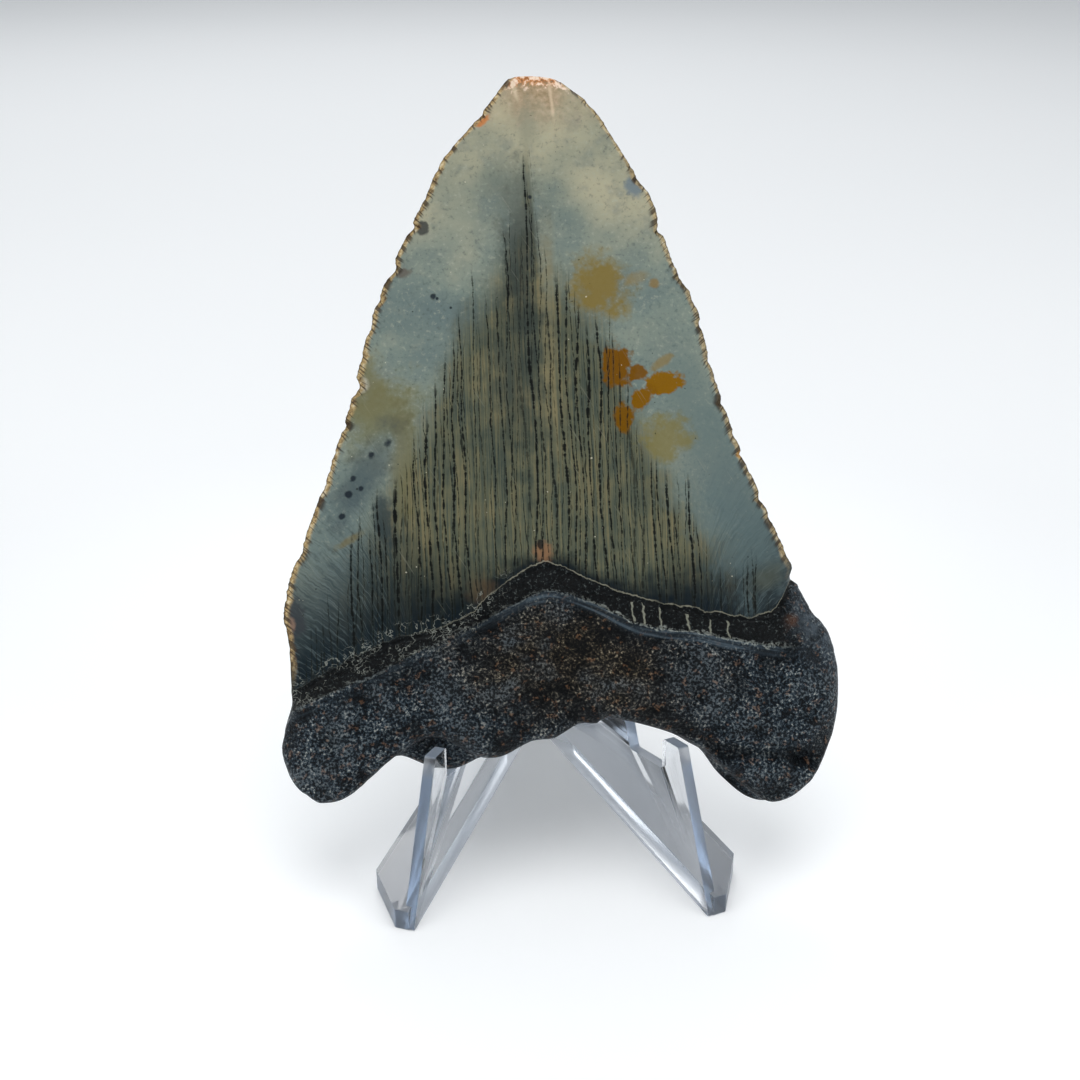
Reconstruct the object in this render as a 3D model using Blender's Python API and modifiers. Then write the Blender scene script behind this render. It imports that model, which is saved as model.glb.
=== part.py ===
"""A megalodon tooth leaning on a clear two-piece display stand.

The tooth is one solid, lofted in its own frame: across, height along its slope, and depth from its
front face to its back. Each half of the stand is an upright web with a foot flange, moulded in one.
The stand stands on the floor, symmetric about the YZ plane, with its front feet towards -Y.
"""

from math import cos, exp, hypot, pi, radians, sin, sqrt, tan

import bmesh
import bpy
from mathutils import Matrix, Vector, noise

MM = 0.001
TOUCH_GAP = 0.3

# Tooth: place and lean. All sizes below are millimetres
TOOTH_LEAN = radians(30.0)
TOOTH_FOOT = (0.0, 7.6, 25.3)

# Tooth outline seen square on, as (height, across) down each side and (across, height) below
LEFT_SIDE = [
    (126.5, -4.6), (119.0, -10.6), (111.4, -17.1), (105.4, -20.0), (94.7, -25.4), (83.7, -30.2),
    (72.1, -33.5), (64.0, -35.9), (53.8, -39.5), (42.5, -43.8), (36.0, -46.3), (29.8, -47.3),
    (24.4, -46.4), (15.4, -46.4), (10.9, -47.7), (6.5, -48.5), (2.8, -47.5),
]
RIGHT_SIDE = [
    (125.8, 5.2), (123.1, 8.9), (118.0, 12.9), (112.2, 16.1), (103.8, 21.1), (98.8, 22.5),
    (92.3, 24.4), (84.5, 28.2), (78.3, 29.5), (71.3, 31.0), (59.5, 34.6), (48.2, 38.9),
    (42.0, 41.3), (36.1, 43.7), (34.1, 43.4), (32.8, 45.3), (28.1, 47.8), (24.8, 50.3),
    (20.0, 51.7), (15.6, 52.0), (8.6, 51.2), (3.4, 49.1),
]
LOWER_SIDE = [
    (-47.5, 2.8), (-45.7, 0.2), (-43.7, -1.4), (-41.7, -2.5), (-38.6, -2.3), (-35.9, -1.1),
    (-33.2, 1.1), (-28.7, 4.8), (-23.3, 7.9), (-20.0, 7.9), (-15.2, 5.0), (-12.6, 4.1), (-9.5, 4.3),
    (-4.4, 6.7), (-0.4, 7.1), (4.1, 9.4), (7.6, 9.4), (8.9, 10.5), (11.5, 9.9), (15.7, 8.8),
    (21.9, 6.7), (25.0, 4.8), (26.9, 3.6), (29.7, -0.7), (34.6, -5.0), (39.6, -5.5), (45.3, -2.2),
    (47.4, 0.5), (49.1, 3.4),
]

# The chevron where the enamel of the crown ends, as (across, height)
ENAMEL_END = [
    (-46.4, 16.5), (-38.7, 20.8), (-27.8, 25.5), (-20.6, 26.9), (-14.4, 29.5), (-9.0, 34.1),
    (-1.0, 37.9), (6.2, 34.8), (12.1, 32.3), (18.0, 30.5), (26.1, 28.8), (33.0, 27.4),
    (39.9, 28.4), (43.4, 34.1),
]

# Tooth thickness on its centre line, as (height, thickness)
THICKNESS = [
    (-6.0, 17.0), (4.0, 19.2), (14.0, 20.0), (24.0, 19.2), (38.0, 17.3), (50.0, 15.8), (70.0, 12.8),
    (90.0, 9.6), (110.0, 6.2), (126.5, 3.4),
]
LOBE_REACH = 48.0
LOBE_THINNING = 5.0
BOSS_HEIGHT = 17.0
BOSS_DEPTH = 4.2
BOSS_RADIUS = 8.5

# Depth at which front and back meet along the sides, and how the faces run out to there
EDGE_DEPTH_TIP = 1.5
EDGE_DEPTH_BASE = 3.6
ROOT_EDGE_DEPTH = 8.2
CROWN_FRONT_POWER = 2.2
CROWN_BACK_POWERS = (2.0, 0.8)
ROOT_FRONT_POWERS = (6.0, 0.45)
ROOT_BACK_POWERS = (5.0, 0.5)
RELIEF_FADE_POWER = 8.0

# Rounding of the lips along the lower side of the root
FRONT_LIP_RADIUS = 3.4
BACK_LIP_RADIUS = 5.6
LIP_FADE_POWER = 6.0

# Steps down from the enamel, as (fall where the step starts, where it ends, depth)
FRONT_LEDGES = [(-0.3, 0.9, 0.75), (3.6, 4.8, -0.35)]
BACK_LEDGES = [(1.1, 2.3, 0.6)]

# Lone forms of the root, as (across, height, radius, depth): shoulder, dent and fold in front, pit behind
FRONT_FORMS = [(45.5, 25.0, 7.0, -1.1), (43.6, 0.8, 3.2, 1.4), (27.5, 6.0, 5.0, 1.0)]
BACK_FORMS = [(0.8, 15.5, 2.6, 1.8)]

# Lumps all over, as (size, depth, layer of the noise)
FRONT_LUMPS = [(9.0, 0.45, 0.3), (4.5, 0.3, 4.1)]
BACK_LUMPS = [(8.0, 0.3, 11.3), (4.5, 0.2, 15.9)]
CROWN_LUMPS = [(16.0, 0.25, 7.7)]

# Hollow under the left of the root, which takes the top of the left post
HOLLOW_ACROSS = -20.8
HOLLOW_HALF_WIDTH = 8.6
HOLLOW_DROP = 6.0
HOLLOW_STEP = (6.8, 11.4)
SEAT_RISE = 0.27
SEAT_RISE_FROM = 13.0
SEAT_RISE_MOST = 3.0

# Bands of rows in the loft, as (share of the height where the band ends, rows)
ROW_BANDS = [(0.62, 15), (0.80, 10), (0.972, 13), (1.0, 4)]
ARCH_POWER = 5
COLUMNS = 40
COLUMN_CROWDING = 0.6
UNDERSIDE_ROWS = 7

# Stand half: side view of its web, as (distance back, height, corner radius)
WEB_THICKNESS = 2.0
WEB_LEAN = radians(25.3)
POST_FRONT_TOP = (12.9, 28.0)
POST_REAR = 18.2
POST_REAR_TOP = 26.8
SEAT_FRONT_HEIGHT = 20.6
SEAT_REAR = (30.1, 17.8)
REST_TOP = 62.0
REST_TOP_LENGTH = 7.0
REST_REAR_TOP = 60.5
TAIL_END = 82.0
TAIL_HEIGHT = 8.0
FOOT_RADIUS = 0.35
POST_RADIUS = 0.5
NOTCH_RADIUS = 0.7
REST_RADIUS = 2.5
TAIL_RADIUS = 4.0

# Stand half: plan of its foot flange, as distances back and out from the foot of the web
FLANGE_THICKNESS = 3.9
FLANGE_WIDTH = 11.0
FLANGE_FRONT_WIDTH = 3.6
FLANGE_FRONT_SLOPE = 9.6
FLANGE_START = 0.25
FLANGE_END = 66.0
FLANGE_REAR_SLOPE = 6.0
FLANGE_RADIUS = 0.6

# Stand: how the halves stand to each other
HALF_SPREAD = 26.1
HALF_ANGLE = radians(21.3)
LAP_HEIGHT = 12.0
LAP_OVERSHOOT = 2.0
EDGE_ROUNDING = 0.25


def smoothstep(low, high, value):
    """Ease from 0 to 1 as the value passes from low to high."""
    share = min(max((value - low) / (high - low), 0.0), 1.0)
    return share * share * (3.0 - 2.0 * share)


def mix(first, second, share):
    return first + (second - first) * share


def through(points, at):
    """Read a smooth line through points whose first numbers run one way."""
    if points[0][0] > points[-1][0]:
        points = points[::-1]
    at = min(max(at, points[0][0]), points[-1][0])
    index = 0
    while index < len(points) - 2 and at > points[index + 1][0]:
        index += 1
    before = points[max(index - 1, 0)]
    start = points[index]
    end = points[index + 1]
    after = points[min(index + 2, len(points) - 1)]
    span = end[0] - start[0]
    share = (at - start[0]) / span
    slope_start = (end[1] - before[1]) / (end[0] - before[0]) * span
    slope_end = (after[1] - start[1]) / (after[0] - start[0]) * span
    return (start[1] * (2 * share**3 - 3 * share**2 + 1) + end[1] * (3 * share**2 - 2 * share**3)
            + slope_start * (share**3 - 2 * share**2 + share) + slope_end * (share**3 - share**2))


def bump(distance, radius):
    """A rounded hill of height 1 that ends at the radius."""
    share = min(abs(distance) / radius, 1.0)
    return (1.0 - share * share) ** 2


def lumps(across, height, layers):
    """Smooth noise summed from layers of (size, depth, layer)."""
    total = 0.0
    for size, depth, layer in layers:
        total += 1.6 * depth * noise.noise(Vector((across / size, height / size, layer)))
    return total


def forms(across, height, places):
    """Lone rounded forms of (across, height, radius, depth)."""
    return sum(depth * bump(hypot(across - x, height - y), radius) for x, y, radius, depth in places)


def ledges(fall, steps):
    """Steps passed on the way down from the end of the enamel."""
    return sum(depth * smoothstep(start, end, fall) for start, end, depth in steps)


def root_share(across, height):
    """0 on the enamel of the crown, 1 on the root."""
    return smoothstep(1.2, -2.4, height - through(ENAMEL_END, across))


def thickness(across, height):
    """Thickness of the tooth away from its edges."""
    lobe = (across / LOBE_REACH) ** 2 * root_share(across, height)
    boss = BOSS_DEPTH * exp(-(across**2 + (height - BOSS_HEIGHT) ** 2) / BOSS_RADIUS**2)
    return through(THICKNESS, height) - LOBE_THINNING * lobe + boss


def edge_depth(across, height):
    """Depth at which the front and the back meet along the sides."""
    crown = mix(EDGE_DEPTH_BASE, EDGE_DEPTH_TIP, height / LEFT_SIDE[0][0])
    return mix(crown, ROOT_EDGE_DEPTH, root_share(across, height))


def lip_depth(radius, side, below):
    """How far a face has turned under. below runs 0 to 1 over the lip."""
    return radius * (1.0 - sqrt(1.0 - below * below)) * (1.0 - abs(side) ** LIP_FADE_POWER)


def front_depth(across, height, side, below):
    """Depth of the front face. side runs -1 to 1 from edge to edge."""
    power, flatness = ROOT_FRONT_POWERS
    crown_side = abs(side) ** CROWN_FRONT_POWER
    root_side = 1.0 - (1.0 - abs(side) ** power) ** flatness
    turned = mix(crown_side, root_side, root_share(across, height))
    relief = front_relief(across, height) * (1.0 - abs(side) ** RELIEF_FADE_POWER)
    return edge_depth(across, height) * turned + lip_depth(FRONT_LIP_RADIUS, side, below) + relief


def front_relief(across, height):
    """Ledges, forms and lumps of the front face, positive into the tooth."""
    root = root_share(across, height)
    rough = forms(across, height, FRONT_FORMS) + lumps(across, height, FRONT_LUMPS)
    ledge = ledges(through(ENAMEL_END, across) - height, FRONT_LEDGES)
    return ledge + mix(lumps(across, height, CROWN_LUMPS), rough, root)


def back_depth(across, height, side, below):
    """Depth of the back face."""
    crown_power, crown_flatness = CROWN_BACK_POWERS
    root_power, root_flatness = ROOT_BACK_POWERS
    lens = (1.0 - abs(side) ** crown_power) ** crown_flatness
    round_side = (1.0 - abs(side) ** root_power) ** root_flatness
    edge = edge_depth(across, height)
    swell = (thickness(across, height) - edge) * mix(lens, round_side, root_share(across, height))
    relief = back_relief(across, height) * (1.0 - abs(side) ** RELIEF_FADE_POWER)
    return edge + swell - lip_depth(BACK_LIP_RADIUS, side, below) - relief


def back_relief(across, height):
    """Ledge, lumps and the nutrient pit of the back face, positive into the tooth."""
    rough = forms(across, height, BACK_FORMS) + lumps(across, height, BACK_LUMPS)
    ledge = ledges(through(ENAMEL_END, across) - height, BACK_LEDGES)
    return ledge + root_share(across, height) * rough


def lower_front(across):
    """Height of the lip under the front face."""
    return through(LOWER_SIDE, across)


def lower_back(across):
    """Height of the lip under the back face, which hangs lower behind the hollow."""
    return through(LOWER_SIDE, across) - HOLLOW_DROP * bump(across - HOLLOW_ACROSS, HOLLOW_HALF_WIDTH)


def underside_height(across, depth):
    """Height of the underside: level behind the front lip, then down behind the hollow and up again."""
    front = lower_front(across)
    step = smoothstep(HOLLOW_STEP[0], HOLLOW_STEP[1], depth)
    rise = min(SEAT_RISE * max(depth - SEAT_RISE_FROM, 0.0), SEAT_RISE_MOST)
    return mix(front, lower_back(across) + rise, step)


def place_in_outline(column, row, lower_side):
    """Across and height of a loft point from its shares across and down."""
    left_height = mix(LEFT_SIDE[0][0], LEFT_SIDE[-1][0], row)
    right_height = mix(RIGHT_SIDE[0][0], RIGHT_SIDE[-1][0], row)
    across = mix(through(LEFT_SIDE, left_height), through(RIGHT_SIDE, right_height), column)
    foot_height = mix(LEFT_SIDE[-1][0], RIGHT_SIDE[-1][0], column)
    arch = lower_side(mix(LEFT_SIDE[-1][1], RIGHT_SIDE[-1][1], column)) - foot_height
    return across, mix(left_height, right_height, column) + arch * row**ARCH_POWER


def loft_rows():
    """Shares down the tooth at which the loft has a row."""
    rows = [0.0]
    start = 0.0
    for end, count in ROW_BANDS:
        rows += [mix(start, end, (step + 1) / count) for step in range(count)]
        start = end
    return rows


def loft_columns():
    """Shares across the tooth at which the loft has a column, closer at the sides."""
    shares = []
    for step in range(COLUMNS + 1):
        even = step / COLUMNS
        crowded = 0.5 - 0.5 * cos(pi * even)
        shares.append(mix(even, crowded, COLUMN_CROWDING))
    return shares


def add_point(mesh, across, height, depth):
    return mesh.verts.new((across * MM, depth * MM, height * MM))


def add_sheets(mesh, rows, columns):
    """Lines of points down the front and the back, which share their first and last points."""
    lip_start = ROW_BANDS[-2][0]
    front = []
    back = []
    for row in rows:
        below = max(row - lip_start, 0.0) / (1.0 - lip_start)
        front_line = []
        back_line = []
        for column in columns:
            side = 2.0 * column - 1.0
            across, height = place_in_outline(column, row, lower_front)
            front_line.append(add_point(mesh, across, height, front_depth(across, height, side, below)))
            if abs(side) == 1.0:
                back_line.append(front_line[-1])
                continue
            across, height = place_in_outline(column, row, lower_back)
            back_line.append(add_point(mesh, across, height, back_depth(across, height, side, below)))
        front.append(front_line)
        back.append(back_line)
    return front, back


def add_underside(mesh, front_lip, back_lip):
    """Lines of points from the front lip to the back lip of the root."""
    lines = [front_lip]
    for step in range(1, UNDERSIDE_ROWS):
        share = step / UNDERSIDE_ROWS
        line = [front_lip[0]]
        for start, end in zip(front_lip[1:-1], back_lip[1:-1]):
            place = start.co.lerp(end.co, share) / MM
            own_shape = min(1.0, 4.0 * share * (1.0 - share) + 0.2)
            height = mix(place.z, underside_height(place.x, place.y), own_shape)
            line.append(add_point(mesh, place.x, height, place.y))
        line.append(front_lip[-1])
        lines.append(line)
    lines.append(back_lip)
    return lines


def tooth_mesh():
    """Front sheet, back sheet and underside of the tooth, closed into one body."""
    mesh = bmesh.new()
    front, back = add_sheets(mesh, loft_rows(), loft_columns())
    underside = add_underside(mesh, front[-1], back[-1])
    for upper, lower in zip(front, front[1:]):
        bridge(mesh, upper, lower)
    for upper, lower in zip(back, back[1:]):
        bridge(mesh, lower, upper)
    for upper, lower in zip(underside, underside[1:]):
        bridge(mesh, upper, lower)
    bridge(mesh, back[0], front[0])
    return mesh


def bridge(mesh, upper, lower):
    """Faces between two lines of points, three-sided where the lines share a point."""
    for index in range(len(upper) - 1):
        corners = [upper[index], lower[index], lower[index + 1], upper[index + 1]]
        kept = []
        for corner in corners:
            if corner not in kept:
                kept.append(corner)
        if len(kept) > 2:
            mesh.faces.new(kept)


def plain_material(name, colour, roughness, transmission=0.0):
    material = bpy.data.materials.new(name)
    material.use_nodes = True
    shader = material.node_tree.nodes["Principled BSDF"]
    shader.inputs["Base Color"].default_value = (*colour, 1.0)
    shader.inputs["Roughness"].default_value = roughness
    shader.inputs["Metallic"].default_value = 0.0
    shader.inputs["Transmission Weight"].default_value = transmission
    return material


def make_tooth(collection, parent):
    """The fossil tooth, leaning back on the stand."""
    loft = tooth_mesh()
    bmesh.ops.triangulate(loft, faces=loft.faces[:])
    bmesh.ops.recalc_face_normals(loft, faces=loft.faces[:])
    data = bpy.data.meshes.new("tooth")
    loft.to_mesh(data)
    loft.free()
    data.shade_smooth()
    tooth = bpy.data.objects.new("tooth", data)
    collection.objects.link(tooth)
    tooth.parent = parent
    tooth.location = Vector(TOOTH_FOOT) * MM
    tooth.rotation_euler = (-TOOTH_LEAN, 0.0, 0.0)
    data.materials.append(plain_material("tooth_fossil", (0.12, 0.13, 0.12), 0.42))
    return tooth


def rounded_outline(corners, steps=4):
    """Points round an outline whose corners are (along, up, radius)."""
    points = []
    count = len(corners)
    for index, (along, up, radius) in enumerate(corners):
        corner = Vector((along, up))
        if radius == 0.0:
            points.append(corner)
            continue
        to_last = (Vector(corners[index - 1][:2]) - corner).normalized()
        to_next = (Vector(corners[(index + 1) % count][:2]) - corner).normalized()
        half = to_last.angle(to_next) / 2.0
        middle = corner + (to_last + to_next).normalized() * (radius / sin(half))
        start = corner + to_last * (radius / tan(half)) - middle
        end = corner + to_next * (radius / tan(half)) - middle
        turn = start.angle_signed(end)
        for step in range(steps + 1):
            spin = Matrix.Rotation(-turn * step / steps, 2)
            points.append(middle + spin @ start)
    return points


def web_outline():
    """Side view of the web: foot, post, notch, back rest and tail."""
    rest_front = SEAT_REAR[0] + (REST_TOP - SEAT_REAR[1]) * tan(WEB_LEAN)
    return rounded_outline([
        (0.0, 0.0, FOOT_RADIUS),
        (*POST_FRONT_TOP, POST_RADIUS),
        (POST_REAR, POST_REAR_TOP, POST_RADIUS),
        (POST_REAR, SEAT_FRONT_HEIGHT, NOTCH_RADIUS),
        (*SEAT_REAR, NOTCH_RADIUS),
        (rest_front, REST_TOP, REST_RADIUS),
        (rest_front + REST_TOP_LENGTH, REST_REAR_TOP, REST_RADIUS),
        (TAIL_END, TAIL_HEIGHT, TAIL_RADIUS),
        (TAIL_END, 0.0, FOOT_RADIUS),
    ])


def flange_outline():
    """Plan of the foot flange, its inner edge inside the web."""
    inner = WEB_THICKNESS / 2.0
    return rounded_outline([
        (FLANGE_START, inner, 0.0),
        (FLANGE_START, FLANGE_FRONT_WIDTH, FLANGE_RADIUS),
        (FLANGE_FRONT_SLOPE, FLANGE_WIDTH, FLANGE_RADIUS),
        (FLANGE_END - FLANGE_REAR_SLOPE, FLANGE_WIDTH, FLANGE_RADIUS),
        (FLANGE_END, inner, 0.0),
    ])


def extruded(name, outline, thick, matrix, collection):
    """A flat outline in its own XY plane, made thick along its Z, as a mesh."""
    curve = bpy.data.curves.new(name, "CURVE")
    curve.dimensions = "2D"
    curve.fill_mode = "BOTH"
    curve.extrude = thick * MM / 2.0
    spline = curve.splines.new("POLY")
    spline.points.add(len(outline) - 1)
    for point, place in zip(spline.points, outline):
        point.co = (place[0] * MM, place[1] * MM, 0.0, 1.0)
    spline.use_cyclic_u = True
    holder = bpy.data.objects.new(name + "_curve", curve)
    collection.objects.link(holder)
    bpy.context.view_layer.update()
    evaluated = holder.evaluated_get(bpy.context.evaluated_depsgraph_get())
    data = bpy.data.meshes.new_from_object(evaluated)
    data.transform(matrix)
    weld = bmesh.new()
    weld.from_mesh(data)
    bmesh.ops.remove_doubles(weld, verts=weld.verts[:], dist=0.01 * MM)
    bmesh.ops.dissolve_limit(weld, angle_limit=radians(0.5), verts=weld.verts[:], edges=weld.edges[:])
    bmesh.ops.recalc_face_normals(weld, faces=weld.faces[:])
    weld.to_mesh(data)
    weld.free()
    data.name = name
    piece = bpy.data.objects.new(name, data)
    collection.objects.link(piece)
    bpy.data.objects.remove(holder)
    return piece


def half_frame(side):
    """From (back along the web, out from it, up) of one half to the stand's frame."""
    along = Vector((-side * sin(HALF_ANGLE), cos(HALF_ANGLE), 0.0))
    out = Vector((side * cos(HALF_ANGLE), sin(HALF_ANGLE), 0.0))
    frame = Matrix((along, out, Vector((0.0, 0.0, 1.0)))).transposed().to_4x4()
    return Matrix.Translation((side * HALF_SPREAD * MM, 0.0, 0.0)) @ frame


def lap_cutter(side, collection):
    """The slab of one half's web, with the touch gap round it, cut from the other half."""
    low = -LAP_OVERSHOOT if side < 0 else LAP_HEIGHT
    high = LAP_HEIGHT + TOUCH_GAP if side < 0 else REST_TOP + LAP_OVERSHOOT
    length = 2.0 * TAIL_END
    bpy.ops.mesh.primitive_cube_add(size=1.0)
    cutter = bpy.context.active_object
    cutter.name = "lap_cutter_left" if side < 0 else "lap_cutter_right"
    size = Matrix.Diagonal((length * MM, (WEB_THICKNESS + 2.0 * TOUCH_GAP) * MM, (high - low) * MM, 1.0))
    centre = Matrix.Translation((TAIL_END * MM, WEB_THICKNESS * MM / 2.0, (low + high) * MM / 2.0))
    frame = half_frame(side)
    cutter.data.transform(frame @ centre @ size)
    if frame.is_negative:
        cutter.data.flip_normals()
    for owner in cutter.users_collection:
        owner.objects.unlink(cutter)
    collection.objects.link(cutter)
    cutter.hide_render = True
    cutter.display_type = "WIRE"
    return cutter


def boolean(piece, other, operation):
    modifier = piece.modifiers.new(operation.lower(), "BOOLEAN")
    modifier.operation = operation
    modifier.solver = "EXACT"
    modifier.object = other


def make_half(side, name, collection, cutters, parent):
    """One half of the stand. The left half is lapped from above, the right from below."""
    frame = half_frame(side)
    upright = Matrix.Translation((0.0, WEB_THICKNESS * MM / 2.0, 0.0)) @ Matrix.Rotation(pi / 2.0, 4, "X")
    half = extruded(name, web_outline(), WEB_THICKNESS, frame @ upright, collection)
    lift = Matrix.Translation((0.0, 0.0, FLANGE_THICKNESS * MM / 2.0))
    flange = extruded(name + "_flange", flange_outline(), FLANGE_THICKNESS, frame @ lift, cutters)
    flange.hide_render = True
    flange.display_type = "WIRE"
    boolean(half, flange, "UNION")
    boolean(half, lap_cutter(-side, cutters), "DIFFERENCE")
    rounding = half.modifiers.new("rounding", "BEVEL")
    rounding.width = EDGE_ROUNDING * MM
    rounding.segments = 2
    rounding.limit_method = "ANGLE"
    rounding.angle_limit = radians(40.0)
    half.data.materials.append(plain_material(name + "_plastic", (0.86, 0.9, 0.95), 0.06, 1.0))
    half.parent = parent
    return half


def lowest_and_highest(objects):
    """Corners of the box round the objects as they are evaluated."""
    bpy.context.view_layer.update()
    graph = bpy.context.evaluated_depsgraph_get()
    places = []
    for piece in objects:
        evaluated = piece.evaluated_get(graph)
        places += [evaluated.matrix_world @ vertex.co for vertex in evaluated.data.vertices]
    low = Vector([min(place[axis] for place in places) for axis in range(3)])
    high = Vector([max(place[axis] for place in places) for axis in range(3)])
    return low, high


def main():
    for leftover in list(bpy.data.objects):
        bpy.data.objects.remove(leftover)
    parts = bpy.data.collections.new("megalodon_tooth_on_stand")
    cutters = bpy.data.collections.new("cutters")
    bpy.context.scene.collection.children.link(parts)
    bpy.context.scene.collection.children.link(cutters)
    origin = bpy.data.objects.new("origin", None)
    parts.objects.link(origin)

    tooth = make_tooth(parts, origin)
    left = make_half(-1, "stand_left_half", parts, cutters, origin)
    right = make_half(1, "stand_right_half", parts, cutters, origin)
    low, high = lowest_and_highest([tooth, left, right])
    origin.location = (-(low.x + high.x) / 2.0, -(low.y + high.y) / 2.0, -low.z)
    for cutter in cutters.objects:
        cutter.parent = origin
    bpy.context.view_layer.update()


main()
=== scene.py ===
from math import cos, pi, radians, sin, tan

import bmesh
import bpy
import numpy as np
from mathutils import Matrix, Vector, noise


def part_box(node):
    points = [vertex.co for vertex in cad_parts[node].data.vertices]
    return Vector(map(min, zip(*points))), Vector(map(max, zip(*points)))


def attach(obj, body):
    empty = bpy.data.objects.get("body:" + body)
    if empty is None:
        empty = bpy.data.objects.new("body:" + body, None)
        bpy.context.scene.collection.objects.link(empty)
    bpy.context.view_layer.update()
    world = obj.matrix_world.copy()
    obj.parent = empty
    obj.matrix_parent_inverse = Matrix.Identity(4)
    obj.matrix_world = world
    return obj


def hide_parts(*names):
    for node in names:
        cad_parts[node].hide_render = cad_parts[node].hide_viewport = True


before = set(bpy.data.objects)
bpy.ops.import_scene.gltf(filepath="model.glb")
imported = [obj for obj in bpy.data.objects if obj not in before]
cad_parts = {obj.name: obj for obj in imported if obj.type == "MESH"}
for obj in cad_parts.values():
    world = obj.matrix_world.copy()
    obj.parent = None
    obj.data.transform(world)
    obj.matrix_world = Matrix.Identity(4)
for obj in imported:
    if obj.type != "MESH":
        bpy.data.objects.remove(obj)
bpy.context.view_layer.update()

MM = 0.001

# Place of the stand's own frame in the row frame: its middle plane and its front feet
left_low, left_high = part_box("stand_left_half")
right_low, right_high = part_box("stand_right_half")
STAND_ORIGIN = Vector(((left_low.x + right_high.x) / 2.0, min(left_low.y, right_low.y), 0.0))

# Tooth: place and lean. All sizes below are millimetres
TOOTH_LEAN = radians(30.0)
TOOTH_FOOT = (0.0, 7.6, 25.3)

# Tooth outline seen square on, as (height, across) down each side and (across, height) below
LEFT_SIDE = [
    (126.5, -4.6), (119.0, -10.6), (111.4, -17.1), (105.4, -20.0), (94.7, -25.4), (83.7, -30.2),
    (72.1, -33.5), (64.0, -35.9), (53.8, -39.5), (42.5, -43.8), (36.0, -46.3), (29.8, -47.3),
    (24.4, -46.4), (15.4, -46.4), (10.9, -47.7), (6.5, -48.5), (2.8, -47.5),
]
RIGHT_SIDE = [
    (125.8, 5.2), (123.1, 8.9), (118.0, 12.9), (112.2, 16.1), (103.8, 21.1), (98.8, 22.5),
    (92.3, 24.4), (84.5, 28.2), (78.3, 29.5), (71.3, 31.0), (59.5, 34.6), (48.2, 38.9),
    (42.0, 41.3), (36.1, 43.7), (34.1, 43.4), (32.8, 45.3), (28.1, 47.8), (24.8, 50.3),
    (20.0, 51.7), (15.6, 52.0), (8.6, 51.2), (3.4, 49.1),
]
LOWER_SIDE = [
    (-47.5, 2.8), (-45.7, 0.2), (-43.7, -1.4), (-41.7, -2.5), (-38.6, -2.3), (-35.9, -1.1),
    (-33.2, 1.1), (-28.7, 4.8), (-23.3, 7.9), (-20.0, 7.9), (-15.2, 5.0), (-12.6, 4.1), (-9.5, 4.3),
    (-4.4, 6.7), (-0.4, 7.1), (4.1, 9.4), (7.6, 9.4), (8.9, 10.5), (11.5, 9.9), (15.7, 8.8),
    (21.9, 6.7), (25.0, 4.8), (26.9, 3.6), (29.7, -0.7), (34.6, -5.0), (39.6, -5.5), (45.3, -2.2),
    (47.4, 0.5), (49.1, 3.4),
]

# The chevron where the enamel of the crown ends, and the lower line of the band below it
ENAMEL_END = [
    (-46.4, 16.5), (-38.7, 20.8), (-27.8, 25.5), (-20.6, 26.9), (-14.4, 29.5), (-9.0, 34.1),
    (-1.0, 37.9), (6.2, 34.8), (12.1, 32.3), (18.0, 30.5), (26.1, 28.8), (33.0, 27.4),
    (39.9, 28.4), (43.4, 34.1),
]
BAND_END = [
    (-46.4, 13.6), (-33.0, 19.0), (-20.0, 24.8), (-11.8, 28.6), (-4.7, 32.0), (-1.0, 33.1),
    (3.1, 32.3), (7.1, 30.9), (13.6, 27.3), (17.7, 26.1), (26.0, 24.8), (31.4, 23.5), (42.2, 21.6),
    (50.0, 22.5),
]

# Tooth thickness on its centre line, as (height, thickness)
THICKNESS = [
    (-6.0, 17.0), (4.0, 19.2), (14.0, 20.0), (24.0, 19.2), (38.0, 17.3), (50.0, 15.8), (70.0, 12.8),
    (90.0, 9.6), (110.0, 6.2), (126.5, 3.4),
]
LOBE_REACH = 48.0
LOBE_THINNING = 5.0
BOSS_HEIGHT = 17.0
BOSS_DEPTH = 4.2
BOSS_RADIUS = 8.5

# Depth at which front and back meet along the sides, and how the faces run out to there
EDGE_DEPTH_TIP = 1.5
EDGE_DEPTH_BASE = 3.6
ROOT_EDGE_DEPTH = 8.2
CROWN_FRONT_POWER = 2.2
CROWN_BACK_POWERS = (2.0, 0.8)
ROOT_FRONT_POWERS = (6.0, 0.45)
ROOT_BACK_POWERS = (5.0, 0.5)
RELIEF_FADE_POWER = 8.0
ROOT_BLEND = (1.2, -2.4)

# Rounding of the lips along the lower side of the root
FRONT_LIP_RADIUS = 3.4
BACK_LIP_RADIUS = 5.6
LIP_FADE_POWER = 6.0

# Steps down from the enamel, as (fall where the step starts, where it ends, depth)
FRONT_LEDGES = [(-0.25, 0.45, 0.75), (3.6, 4.8, -0.35)]
BACK_LEDGES = [(1.1, 2.0, 0.6)]

# Lone forms of the root, as (across, height, radius, depth): shoulder, dent and fold in front, pit behind
FRONT_FORMS = [(45.5, 25.0, 7.0, -1.1), (43.6, 0.8, 3.2, 1.4), (27.5, 6.0, 5.0, 1.0)]
BACK_FORMS = [(0.8, 15.5, 2.6, 1.8)]

# Folds of the front of the root, as (start, end, half width, depth) with places as (across, height)
FRONT_FOLDS = [((27.8, 4.2), (46.0, 1.4), 2.4, 1.6), ((22.0, 8.5), (30.0, 3.0), 1.6, 0.6),
               ((-44.0, 13.0), (-33.0, 17.5), 1.6, 0.5), ((41.5, 24.0), (50.0, 17.0), 1.8, 0.6)]

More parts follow.
